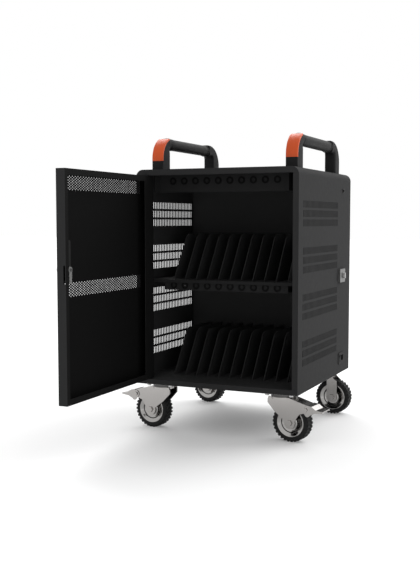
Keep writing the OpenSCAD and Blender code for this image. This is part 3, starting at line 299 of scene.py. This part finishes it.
def plated_metal(name, tone, rough=0.30, stretch=(6.0, 60.0, 60.0)):
    """Plated metal with the soft streaks that its pressing leaves."""
    material, tree, shader = new_finish(name)
    shader.inputs["Metallic"].default_value = 1.0
    tint(tree, shader, grain(tree, scale=14.0, detail=3.0), tone, spread=0.06)
    streaks = grain(tree, scale=9.0, detail=4.0, stretch=stretch)
    vary_roughness(tree, shader, streaks, low=rough - 0.06, high=rough + 0.07)
    emboss(tree, shader, grain(tree, scale=30.0, stretch=stretch), strength=0.05, distance=0.0002)
    return material


def plate_on_shaded_race(name, tone, race_shade_tone, height):
    """Plated metal above a height and burnished steel below it, whose dark tone is also painted shade of the
    gap under the plate.
    """
    material = plated_metal(name, tone, rough=0.18)
    tree = material.node_tree
    shader = tree.nodes["Principled BSDF"]
    bright = shader.inputs["Base Color"].links[0].from_socket
    mix_colours(tree, shader, mask_above(tree, "Object", "Z", limit=height), list(race_shade_tone) + [1.0], bright)
    return material


def moulded_plastic(name, tone, rough=0.50, texture=1600.0, gloss=0.25):
    """Moulded plastic with a fine spark-eroded grain."""
    material, tree, shader = new_finish(name)
    shader.inputs["Specular IOR Level"].default_value = gloss
    tint(tree, shader, grain(tree, scale=16.0), tone, spread=0.08)
    vary_roughness(tree, shader, grain(tree, scale=90.0), low=rough - 0.05, high=rough + 0.06)
    emboss(tree, shader, grain(tree, scale=texture), strength=0.14, distance=0.0002)
    return material


def tyre_rubber(name, tone, gloss=0.25):
    """Dull rubber with a dusty bloom and a fine skin."""
    material, tree, shader = new_finish(name)
    shader.inputs["Specular IOR Level"].default_value = gloss
    tint(tree, shader, grain(tree, scale=35.0, detail=5.0), tone, spread=0.30)
    vary_roughness(tree, shader, grain(tree, scale=120.0, detail=3.0), low=0.66, high=0.82)
    emboss(tree, shader, grain(tree, scale=900.0, detail=3.0), strength=0.25, distance=0.0004)
    return material


# Mesh helpers


def add_piece(name, mesh, material, body, *replaced):
    """Turns a mesh into a piece that rides on a body in place of CAD nodes."""
    piece = bpy.data.objects.new(name, mesh)
    bpy.context.scene.collection.objects.link(piece)
    mesh.materials.clear()
    mesh.materials.append(material)
    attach(piece, body)
    if replaced:
        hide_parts(*replaced)


def mesh_from(bm, name, place=None, smooth_angle=40.0):
    """Closes a bmesh into a mesh with outward faces, put in place."""
    bmesh.ops.remove_doubles(bm, verts=bm.verts, dist=1e-6)
    bmesh.ops.recalc_face_normals(bm, faces=bm.faces)
    if place is not None:
        bm.transform(place)
    mesh = bpy.data.meshes.new(name)
    bm.to_mesh(mesh)
    bm.free()
    soften(mesh, smooth_angle)
    return mesh


def soften(mesh, limit):
    """Shades a mesh smooth up to an angle between faces, in degrees."""
    mesh.shade_smooth()
    mesh.set_sharp_from_angle(angle=math.radians(limit))


def mirrored(half):
    """Closed outline of (radius, height) points from the half below the middle."""
    return list(half) + [(radius, -height) for radius, height in reversed(half)]


def lathe(bm, outline, segments, start=0.0, arc=FULL_TURN, place=Matrix()):
    """Turns a closed outline of (radius, height) round Z, in whole or as a closed sector."""
    whole = arc == FULL_TURN
    steps = segments if whole else segments + 1
    rings = []
    for step in range(steps):
        turn = start + arc * step / segments
        points = [Vector((r * math.cos(turn), r * math.sin(turn), h)) for r, h in outline]
        rings.append([bm.verts.new(place @ point) for point in points])
    count = len(outline)
    for near, far in zip(rings, rings[1:] + rings[:1] if whole else rings[1:]):
        for i in range(count):
            j = (i + 1) % count
            bm.faces.new((near[i], far[i], far[j], near[j]))
    if not whole:
        bm.faces.new(rings[0])
        bm.faces.new(list(reversed(rings[-1])))


def arc_points(centre, radius, start, end, steps):
    """Points along an arc in the plane, angles in degrees."""
    turns = [math.radians(start + (end - start) * i / steps) for i in range(steps + 1)]
    return [(centre[0] + radius * math.cos(t), centre[1] + radius * math.sin(t)) for t in turns]


def wheel_place(corner):
    """Matrix that sets a wheel, drawn round Z, on the axle of a castor."""
    joint = JOINTS["roll_" + corner]
    axis = Vector(joint["axis"]).normalized()
    turn = Vector((0, 0, 1)).rotation_difference(axis).to_matrix().to_4x4()
    return Matrix.Translation(Vector(joint["pos_m"])) @ turn


# Geometry nodes of the tread


def tread_tree(material):
    """Geometry nodes that set two rows of slanted lugs round a tyre's carcass."""
    tree = bpy.data.node_groups.new("tyre_tread", "GeometryNodeTree")
    face = tree.interface
    face.new_socket("Carcass", in_out="INPUT", socket_type="NodeSocketGeometry")
    for name, kind in (
        ("Lugs", "NodeSocketInt"),
        ("Base Radius", "NodeSocketFloat"),
        ("Lug Height", "NodeSocketFloat"),
        ("Lug Length", "NodeSocketFloat"),
        ("Lug Width", "NodeSocketFloat"),
        ("Lug Slant", "NodeSocketFloat"),
    ):
        face.new_socket(name, in_out="INPUT", socket_type=kind)
    face.new_socket("Tyre", in_out="OUTPUT", socket_type="NodeSocketGeometry")
    given = tree.nodes.new("NodeGroupInput").outputs
    result = tree.nodes.new("NodeGroupOutput").inputs
    link = tree.links.new

    def maths(operation, a, b):
        node = tree.nodes.new("ShaderNodeMath")
        node.operation = operation
        for socket, value in zip(node.inputs, (a, b)):
            feed(tree, socket, value)
        return node.outputs[0]

    def vector_of(x, y, z):
        node = tree.nodes.new("ShaderNodeCombineXYZ")
        for socket, value in zip(node.inputs, (x, y, z)):
            feed(tree, socket, value)
        return node.outputs[0]

    lug = tree.nodes.new("GeometryNodeMeshCube")
    twice = maths("MULTIPLY", given["Lug Height"], 2.0)
    link(vector_of(twice, given["Lug Length"], given["Lug Width"]), lug.inputs["Size"])
    index = tree.nodes.new("GeometryNodeInputIndex").outputs[0]
    join = tree.nodes.new("GeometryNodeJoinGeometry")
    link(given["Carcass"], join.inputs[0])
    for side, phase in ((-1, 0.0), (1, 0.5)):
        step = maths("DIVIDE", maths("ADD", index, phase), given["Lugs"])
        turn = maths("MULTIPLY", step, FULL_TURN)
        place = vector_of(
            maths("MULTIPLY", given["Base Radius"], maths("COSINE", turn, 0)),
            maths("MULTIPLY", given["Base Radius"], maths("SINE", turn, 0)),
            maths("MULTIPLY", given["Lug Width"], side * 0.5),
        )
        points = tree.nodes.new("GeometryNodePoints")
        link(given["Lugs"], points.inputs["Count"])
        link(place, points.inputs["Position"])
        spin = tree.nodes.new("FunctionNodeEulerToRotation")
        link(vector_of(maths("MULTIPLY", given["Lug Slant"], side), 0.0, turn), spin.inputs[0])
        row = tree.nodes.new("GeometryNodeInstanceOnPoints")
        link(points.outputs[0], row.inputs["Points"])
        link(lug.outputs["Mesh"], row.inputs["Instance"])
        link(spin.outputs[0], row.inputs["Rotation"])
        link(row.outputs[0], join.inputs[0])
    realize = tree.nodes.new("GeometryNodeRealizeInstances")
    paint = tree.nodes.new("GeometryNodeSetMaterial")
    paint.inputs["Material"].default_value = material
    link(join.outputs[0], realize.inputs[0])
    link(realize.outputs[0], paint.inputs["Geometry"])
    link(paint.outputs[0], result["Tyre"])
    return tree


def grow(obj, tree, values):
    """Runs a node tree on an object and returns the result as a plain mesh."""
    modifier = obj.modifiers.new(tree.name, "NODES")
    modifier.node_group = tree
    for item in tree.interface.items_tree:
        if item.item_type == "SOCKET" and item.in_out == "INPUT" and item.name in values:
            modifier[item.identifier] = values[item.name]
    shown = obj.evaluated_get(bpy.context.evaluated_depsgraph_get())
    mesh = bpy.data.meshes.new_from_object(shown)
    obj.modifiers.remove(modifier)
    return mesh


# Pieces, each made or finished by its own operator


def finish_nodes(material, *names):
    """Gives CAD nodes a material."""
    for name in names:
        slots = NODES[name].data.materials
        slots.clear()
        slots.append(material)


class CART_OT_paint_cabinet(bpy.types.Operator):
    """Powder coat on the cabinet, the doors and the bays"""

    bl_idname = "cart.paint_cabinet"
    bl_label = "Paint cabinet"

    def execute(self, context):
        tones = context.scene.cart_finishes
        coat = powder_coat("charcoal_powder_coat", tones.paint)
        finish_nodes(coat, "top_cover", "left_side_panel", "right_side_panel", "base")
        finish_nodes(coat, "front_frame", "rear_frame", "rear_door")
        # Inner side of the front door and of its lip: darker tone as painted shade.
        shade_painted_door = shade_painted_coat("door_coat_painted_shade", tones.paint, tones.door_shade, shade_gloss=0.02)
        finish_nodes(shade_painted_door, "door_panel")
        lip = shade_painted_coat("lip_coat_painted_shade", tones.paint, tones.door_shade, shade_gloss=0.06)
        finish_nodes(lip, "door_inner_frame")
        # The partition takes a lighter copy of the coat as painted light.
        finish_nodes(powder_coat("rear_wall_coat_painted_light", tones.rear_wall), "partition_panel")
        # Shelf and cable bars take a darker copy of the coat as painted shade.
        inner = powder_coat("interior_coat_painted_shade", tones.interior, gloss=0.12)
        finish_nodes(inner, "middle_shelf", "top_cable_bar", "shelf_cable_bar")
        # Dividers take a lighter copy of the interior coat as painted light.
        dividers = powder_coat("divider_coat_painted_light", tones.divider, gloss=0.10)
        finish_nodes(dividers, "upper_dividers", "lower_dividers")
        return {"FINISHED"}


class CART_OT_fit_mouldings(bpy.types.Operator):
    """Black plastic on outlets, inlet, rocker, button and bushes"""

    bl_idname = "cart.fit_mouldings"
    bl_label = "Fit mouldings"

    def execute(self, context):
        tones = context.scene.cart_finishes
        black = moulded_plastic("black_moulding", tones.moulding, rough=0.65, gloss=0.12)
        finish_nodes(black, "outlets", "inlet_housing", "hinge_bushes", "lock_body", "power_button")
        dull = moulded_plastic("dull_moulding", tones.grommet, rough=0.60, gloss=0.05)
        finish_nodes(dull, "rocker_switch")
        finish_nodes(moulded_plastic("power_strip_plastic", tones.elbow, rough=0.45), "power_strips")
        finish_nodes(plated_metal("contact_brass", tones.brass, rough=0.25), "inlet_pins")
        return {"FINISHED"}


class CART_OT_fit_grommets(bpy.types.Operator):
    """Rubber grommets, each with a slit membrane that closes round a cable"""

    bl_idname = "cart.fit_grommets"
    bl_label = "Fit grommets"

    petal_steps = 6
    # Share of a petal's arc that its two slits take, and its thickness at the rim over that at the slits
    open_share = 0.04
    rim_share = 1.6

    def execute(self, context):
        size = context.scene.cart_grommet
        tones = context.scene.cart_finishes
        rubber = tyre_rubber("grommet_rubber", tones.grommet, gloss=0.06)
        skin = tyre_rubber("membrane_rubber", tones.membrane, gloss=0.15)
        half = size.thickness / 2
        petal = mirrored(((size.slit, -half), (size.radius, -half * self.rim_share)))
        arc = FULL_TURN / size.petals
        turn = Matrix.Rotation(math.radians(90), 4, "X")
        for row in ("top", "shelf"):
            low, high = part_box(row + "_grommets")
            rim = (high.z - low.z) / 2
            pitch = (high.x - low.x - 2 * rim) / (size.holes - 1)
            bm = bmesh.new()
            for hole in range(size.holes):
                middle = (low.x + rim + pitch * hole, (low.y + high.y) / 2, (low.z + high.z) / 2)
                place = Matrix.Translation(middle) @ turn
                for i in range(size.petals):
                    start = arc * (i + 0.5 + self.open_share / 2)
                    lathe(bm, petal, self.petal_steps, start, arc * (1 - self.open_share), place)
            add_piece(row + "_membranes", mesh_from(bm, row + "_membranes"), skin, "cabinet")
        finish_nodes(rubber, "top_grommets", "shelf_grommets")
        return {"FINISHED"}


class CART_OT_finish_locks(bpy.types.Operator):
    """Satin chrome and zinc on locks, pins and screws"""

    bl_idname = "cart.finish_locks"
    bl_label = "Finish locks"

    def execute(self, context):
        tones = context.scene.cart_finishes
        chrome = plated_metal("satin_chrome", tones.lock, rough=0.42)
        finish_nodes(chrome, "side_lock_block", "side_lock_hook", "lock_lever", "key_plug")
        finish_nodes(plated_metal("brushed_knob", tones.knob, rough=0.55), "side_lock_knob")
        finish_nodes(plated_metal("matt_zinc", tones.latch, rough=0.62), "latch_cam")
        zinc = plated_metal("zinc_plate", tones.zinc, rough=0.38)
        finish_nodes(zinc, "rear_keeper", "rear_hinge_pins", "front_hinge_pins", "lock_plate", "castor_bolts")
        burnished = plated_metal("burnished_steel", tones.burnished, rough=0.40)
        finish_nodes(burnished, "button_ring_bezel", "handle_screws")
        return {"FINISHED"}


class CART_OT_finish_castors(bpy.types.Operator):
    """Bright plating on plates, forks and pedals of the castors"""

    bl_idname = "cart.finish_castors"
    bl_label = "Finish castors"

    # Plate above the swivel race, which is burnished steel darkened as painted shade of the gap under the
    # plate
    plate_thickness = 0.0045

    def execute(self, context):
        tones = context.scene.cart_finishes
        plating = plated_metal("bright_plating", tones.plated, rough=0.18)
        finish_nodes(plating, "pedal_left", "pedal_right", *["fork_" + corner for corner in CORNERS])
        # Below this height the plates take the dark race tone: burnished steel and painted shade.
        race_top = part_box("castor_plates")[1].z - self.plate_thickness
        finish_nodes(plate_on_shaded_race("plated_top_shaded_race", tones.plated, tones.burnished, race_top), "castor_plates")
        return {"FINISHED"}


class CART_OT_fit_rims(bpy.types.Operator):
    """Turned rims with a rolled lip and a dished face, and a dark ring at the floor of the groove between
    them as painted shade
    """

    bl_idname = "cart.fit_rims"
    bl_label = "Fit rims"

    # Lower halves of the turned sections, as (radius, height) points
    ring = (
        (0.0450, -0.0190), (0.0462, -0.0196), (0.0452, -0.0206), (0.0436, -0.0204), (0.0412, -0.0186),
        (0.0360, -0.0168), (0.0336, -0.0150), (0.0330, -0.0060),
    )
    dish = (
        (0.0062, -0.0214), (0.0130, -0.0214), (0.0146, -0.0206), (0.0156, -0.0180), (0.0168, -0.0142),
        (0.0190, -0.0120), (0.0220, -0.0114), (0.0260, -0.0124), (0.0304, -0.0146),
    )
    # Dark ring at the floor of the groove between lip and dish: painted shade of the groove.
    core = ((0.0290, -0.0070), (0.0317, -0.0060), (0.0345, -0.0070))

    def execute(self, context):
        tones = context.scene.cart_finishes
        metal = plated_metal("turned_rim", tones.rim, rough=0.14)
        # Black plastic for the groove's floor, as painted shade of the groove.
        groove_shade_finish = moulded_plastic("rim_groove_shade_plastic", tones.moulding, rough=0.60)
        for corner in CORNERS:
            body = "wheel_" + corner
            bm = bmesh.new()
            lathe(bm, mirrored(self.ring), segments=96)
            lathe(bm, mirrored(self.dish), segments=72)
            mesh = mesh_from(bm, "rim_" + corner, wheel_place(corner))
            add_piece("turned_rim_" + corner, mesh, metal, body, "rim_" + corner)
            bm = bmesh.new()
            lathe(bm, mirrored(self.core), segments=72)
            mesh = mesh_from(bm, "groove_shade_" + corner, wheel_place(corner))
            add_piece("rim_groove_shade_" + corner, mesh, groove_shade_finish, body)
        return {"FINISHED"}


class CART_OT_fit_tyres(bpy.types.Operator):
    """Rubber tyres with two rows of slanted lugs"""

    bl_idname = "cart.fit_tyres"
    bl_label = "Fit tyres"

    # Share of a lug's height that its middle lies below the carcass, so that its corners keep to the radius
    sunk_share = 0.15

    def section(self, size, base):
        """Outline of the carcass, from the bead over the side wall and the shoulder to the tread."""
        half = size.width / 2
        return mirrored((
            (size.seat, -half * 0.85),
            (size.seat + 0.0015, -half * 0.97),
            (size.seat + 0.0055, -half),
            (base - 0.0045, -half * 0.97),
            (base - 0.0012, -half * 0.80),
            (base, -half * 0.40),
        ))

    def execute(self, context):
        size = context.scene.cart_tyre
        rubber = tyre_rubber("tyre_rubber", context.scene.cart_finishes.tyre)
        tree = tread_tree(rubber)
        base = size.radius - size.lug_height
        values = {
            "Lugs": size.lugs,
            "Base Radius": base - size.lug_height * self.sunk_share,
            "Lug Height": size.lug_height,
            "Lug Length": size.lug_length,
            "Lug Width": size.lug_width,
            "Lug Slant": size.lug_slant,
        }
        for corner in CORNERS:
            bm = bmesh.new()
            lathe(bm, self.section(size, base), segments=80)
            carcass = bpy.data.objects.new("carcass", mesh_from(bm, "carcass"))
            context.scene.collection.objects.link(carcass)
            mesh = grow(carcass, tree, values)
            bpy.data.objects.remove(carcass)
            mesh.transform(wheel_place(corner))
            soften(mesh, limit=35.0)
            add_piece("lugged_tyre_" + corner, mesh, rubber, "wheel_" + corner, "tyre_" + corner)
        return {"FINISHED"}


class CART_OT_fit_handles(bpy.types.Operator):
    """Moulded elbows with rounded edges, coloured inlays and smooth grips"""

    bl_idname = "cart.fit_handles"
    bl_label = "Fit handles"

    arc_steps = 24
    corner_steps = 8
    # Rounding of an edge that looks sharp, and the least step between two rings or two roundings
    sharp = 0.0003
    least = 0.0001
    # Underside of an elbow above that of its collar
    lift = 0.002
    # Inlay's rounding over that of its elbow, and the lean of the step behind it as a share of an arc step
    inlay_share = 0.8
    lean_share = 0.2
    # Edge of an elbow's end, seam behind it and edge of its boss
    chamfer = 0.0012
    seam_depth = 0.0028
    front_seam = 0.0006
    boss_edge = 0.002

    def ring(self, outer, inner, width, outer_round, inner_round):
        """Rounded rectangle between an outer and an inner (depth, height) point."""
        outer, inner = Vector(outer), Vector(inner)
        middle, along = (outer + inner) / 2, (outer - inner).normalized()
        tall, wide = (outer - inner).length / 2, width / 2
        corners = ((1, 1, outer_round), (-1, 1, outer_round), (-1, -1, inner_round), (1, -1, inner_round))
        points = []
        for quarter, (x, y, radius) in enumerate(corners):
            radius = min(radius, tall - self.least, wide - self.least)
            for i in range(self.corner_steps + 1):
                turn = math.radians(90 * (quarter + i / self.corner_steps))
                place = middle + along * (y * (tall - radius) + radius * math.sin(turn))
                points.append((x * (wide - radius) + radius * math.cos(turn), place.x, place.y))
        return points

    def round_ring(self, depth, axis, radius):
        """Circle round the axis of the grip."""
        return self.ring((depth, axis + radius), (depth, axis - radius), 2 * radius, radius, radius)

    def skin(self, bm, rings, place):
        """Adds a closed skin through a row of rings, put in place."""
        rows = [[bm.verts.new(place @ Vector(point)) for point in ring] for ring in rings]
        count = len(rows[0])
        for row, following in zip(rows, rows[1:]):
            for i in range(count):
                j = (i + 1) % count
                bm.faces.new((row[i], row[j], following[j], following[i]))
        bm.faces.new(rows[0])
        bm.faces.new(rows[-1])

    def paths(self, size, high):
        """Outer, sunk and inner arc of an elbow, and the number of steps that its inlay covers."""
        turn = (size.elbow_radius, high - size.elbow_radius)
        under = high - size.collar_height + self.lift
        inner_turn = (size.post_depth + size.inner_radius, under - size.inner_radius)
        outer = arc_points(turn, size.elbow_radius, 180, 90, self.arc_steps)
        sunk = arc_points(turn, size.elbow_radius - size.inlay, 180, 90, self.arc_steps)
        inner = arc_points(inner_turn, size.inner_radius, 180, 90, self.arc_steps)
        return outer, sunk, inner, round(self.arc_steps * math.degrees(size.inlay_arc) / 90)

    def elbow_rings(self, size, width, low, high, inlaid):
        """Rings of an elbow from its foot to the end of its boss, with its outer face at no depth."""
        outer, sunk, inner, covered = self.paths(size, high)
        edge = size.rounding if inlaid else size.rear_rounding
        last = width / 2 if inlaid else size.end_rounding
        rings = [self.ring((0.0, low), (size.post_depth, low), width, edge, edge)]
        if inlaid:
            foot = outer[0][1] - size.inlay_drop
            rings.append(self.ring((0.0, foot), (size.post_depth, foot), width, edge, edge))
            foot += 2 * self.least
            rings.append(self.ring((size.inlay, foot), (size.post_depth, foot), width, self.sharp, edge))
        for i in range(self.arc_steps + 1):
            share = i / self.arc_steps
            inside = edge + (last - edge) * share * share * (3 - 2 * share)
            if inlaid and i <= covered:
                rings.append(self.ring(sunk[i], inner[i], width, self.sharp, inside))
            if inlaid and i == covered:
                beyond = Vector(inner[i]).lerp(Vector(inner[i + 1]), self.lean_share)
                rings.append(self.ring(outer[i], beyond, width, size.crown_rounding, inside))
            if not inlaid or i > covered:
                outside = max(inside, size.crown_rounding) if inlaid else inside
                rings.append(self.ring(outer[i], inner[i], width, outside, inside))
        return rings + self.boss_rings(size, width, high, inner[-1][1], last, inlaid)

    def boss_rings(self, size, width, high, under, last, inlaid):
        """Rings of an elbow's end, the seam behind it and the round boss that holds the grip."""
        end = size.elbow_length - (size.boss_length if inlaid else size.rear_boss_length)
        start = end + (self.front_seam if inlaid else size.seam)
        axis = high - size.collar_height / 2
        rings = []
        for depth, inset in ((end - self.chamfer, 0.0), (end, self.chamfer)):
            top, bottom = (depth, high - inset), (depth, under + inset)
            rings.append(self.ring(top, bottom, width - 2 * inset, last, last))
        for depth, inset in (
            (end, self.seam_depth),
            (start, self.seam_depth),
            (start, self.chamfer),
            (start + self.chamfer, 0.0),
            (size.elbow_length - self.boss_edge, 0.0),
            (size.elbow_length, self.boss_edge),
        ):
            rings.append(self.round_ring(depth, axis, width / 2 - inset))
        return rings

    def inlay_rings(self, size, width, high):
        """Rings of a coloured inlay from its foot to its end."""
        outer, sunk, _, covered = self.paths(size, high)
        foot = outer[0][1] - size.inlay_drop
        outer = [(0.0, foot)] + outer[:covered + 1]
        sunk = [(size.inlay, foot)] + sunk[:covered + 1]
        edge = size.rounding * self.inlay_share
        return [self.ring(a, b, width, edge, self.sharp) for a, b in zip(outer, sunk)]

    def execute(self, context):
        tones = context.scene.cart_finishes
        size = context.scene.cart_handle
        plastic = moulded_plastic("elbow_plastic", tones.elbow, rough=0.60, gloss=0.09)
        smooth = moulded_plastic("grip_plastic", tones.grip, rough=0.55, gloss=0.09)
        orange = moulded_plastic("inlay_plastic", tones.accent, rough=0.34, texture=2200.0)
        for side in ("left", "right"):
            low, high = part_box(side + "_handle_elbows")
            middle = (low.x + high.x) / 2
            width = high.x - low.x
            front = Matrix.Translation((middle, low.y, 0))
            rear = Matrix.Translation((middle, high.y, 0)) @ Matrix.Scale(-1, 4, (0, 1, 0))
            bm = bmesh.new()
            for place, inlaid in ((front, True), (rear, False)):
                self.skin(bm, self.elbow_rings(size, width, low.z, high.z, inlaid), place)
            elbows = mesh_from(bm, side + "_elbows", smooth_angle=30.0)
            add_piece(side + "_elbows", elbows, plastic, "cabinet", side + "_handle_elbows")
            bm = bmesh.new()
            self.skin(bm, self.inlay_rings(size, width, high.z), front)
            inlay = mesh_from(bm, side + "_inlay", smooth_angle=30.0)
            add_piece(side + "_inlay", inlay, orange, "cabinet", side + "_accent")
            finish_nodes(smooth, side + "_grip")
        return {"FINISHED"}


class CART_OT_set_stage(bpy.types.Operator):
    """Pale floor, soft studio light and camera"""

    bl_idname = "cart.set_stage"
    bl_label = "Set stage"

    def execute(self, context):
        scene = context.scene
        studio = scene.cart_studio
        scene.view_settings.view_transform = "Standard"
        self.add_floor(studio)
        self.add_world(scene, studio)
        self.add_sun("back_light_right", (0.55, 0.75, 0.85), studio.back_light, spread=50)
        self.add_sun("back_light_left", (-0.55, 0.75, 0.85), studio.back_light, spread=50)
        self.add_sun("side_light", (0.9, -0.15, 0.45), studio.side_light, spread=60)
        self.add_camera(scene, studio)
        return {"FINISHED"}

    def add_floor(self, studio):
        """Large plain floor that is white to the camera but keeps the shadow."""
        half = 30.0
        corners = [(-half, -half, 0), (half, -half, 0), (half, half, 0), (-half, half, 0)]
        mesh = bpy.data.meshes.new("floor")
        mesh.from_pydata(corners, [], [(0, 1, 2, 3)])
        material, tree, shader = new_finish("pale_floor")
        shader.inputs["Base Color"].default_value = [studio.floor_tone] * 3 + [1.0]
        shader.inputs["Roughness"].default_value = 1.0
        shader.inputs["Specular IOR Level"].default_value = 0.0
        shader.inputs["Emission Color"].default_value = (1.0, 1.0, 1.0, 1.0)
        glow = tree.nodes.new("ShaderNodeMath")
        glow.operation = "MULTIPLY"
        glow.inputs[1].default_value = studio.floor_glow
        tree.links.new(self.seen_rays(tree), glow.inputs[0])
        tree.links.new(glow.outputs[0], shader.inputs["Emission Strength"])
        mesh.materials.append(material)
        floor = bpy.data.objects.new("floor", mesh)
        bpy.context.scene.collection.objects.link(floor)

    def seen_rays(self, tree):
        """One for rays that look straight, by a reflection or through glass."""
        light = tree.nodes.new("ShaderNodeLightPath")
        total = light.outputs["Is Camera Ray"]
        for name in ("Is Glossy Ray", "Is Transmission Ray"):
            both = tree.nodes.new("ShaderNodeMath")
            both.operation = "MAXIMUM"
            tree.links.new(total, both.inputs[0])
            tree.links.new(light.outputs[name], both.inputs[1])
            total = both.outputs[0]
        return total

    def add_world(self, scene, studio):
        """White to the eye, softer as a light."""
        world = bpy.data.worlds.new("studio")
        world.use_nodes = True
        tree = world.node_tree
        shader = tree.nodes["Background"]
        shader.inputs["Color"].default_value = (1.0, 1.0, 1.0, 1.0)
        strength = tree.nodes.new("ShaderNodeMapRange")
        strength.inputs["To Min"].default_value = studio.ambient
        strength.inputs["To Max"].default_value = 1.0
        tree.links.new(self.seen_rays(tree), strength.inputs["Value"])
        tree.links.new(strength.outputs["Result"], shader.inputs["Strength"])
        scene.world = world

    def add_sun(self, name, source, strength, spread):
        """Wide soft light from a direction."""
        lamp = bpy.data.lights.new(name, "SUN")
        lamp.energy = strength
        lamp.angle = math.radians(spread)
        light = bpy.data.objects.new(name, lamp)
        light.rotation_euler = Vector(source).to_track_quat("Z", "Y").to_euler()
        bpy.context.scene.collection.objects.link(light)

    def add_camera(self, scene, studio):
        """Camera at eye level to the right of the cart's front."""
        lens = bpy.data.cameras.new("camera")
        lens.lens = studio.lens
        lens.sensor_width = 36.0
        lens.clip_end = 100.0
        camera = bpy.data.objects.new("camera", lens)
        yaw, pitch = studio.camera_yaw, studio.camera_pitch
        ahead = Vector((-math.sin(yaw) * math.cos(pitch), math.cos(yaw) * math.cos(pitch), -math.sin(pitch)))
        camera.location = studio.camera_place
        camera.rotation_euler = ahead.to_track_quat("-Z", "Y").to_euler()
        scene.collection.objects.link(camera)
        scene.camera = camera


class CART_PT_panel(bpy.types.Panel):
    """Sidebar list of the cart's pieces"""

    bl_label = "Laptop charging cart"
    bl_idname = "CART_PT_panel"
    bl_space_type = "VIEW_3D"
    bl_region_type = "UI"
    bl_category = "Cart"

    def draw(self, context):
        for operator in OPERATORS:
            self.layout.operator(operator.bl_idname)
        for name, group in SETTINGS.items():
            box = self.layout.box()
            for key in group.__annotations__:
                box.prop(getattr(context.scene, name), key)


OPERATORS = (
    CART_OT_paint_cabinet,
    CART_OT_fit_mouldings,
    CART_OT_fit_grommets,
    CART_OT_finish_locks,
    CART_OT_finish_castors,
    CART_OT_fit_rims,
    CART_OT_fit_tyres,
    CART_OT_fit_handles,
    CART_OT_set_stage,
)


def register():
    """Registers the settings, the operators and the panel."""
    for name, group in SETTINGS.items():
        bpy.utils.register_class(group)
        setattr(bpy.types.Scene, name, PointerProperty(type=group))
    for cls in OPERATORS + (CART_PT_panel,):
        bpy.utils.register_class(cls)


def unregister():
    """Removes what register added."""
    for cls in (CART_PT_panel,) + OPERATORS:
        bpy.utils.unregister_class(cls)
    for name, group in SETTINGS.items():
        delattr(bpy.types.Scene, name)
        bpy.utils.unregister_class(group)


def main():
    """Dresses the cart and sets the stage."""
    register()
    for operator in OPERATORS:
        group, name = operator.bl_idname.split(".")
        getattr(getattr(bpy.ops, group), name)()


if __name__ == "__main__":
    main()
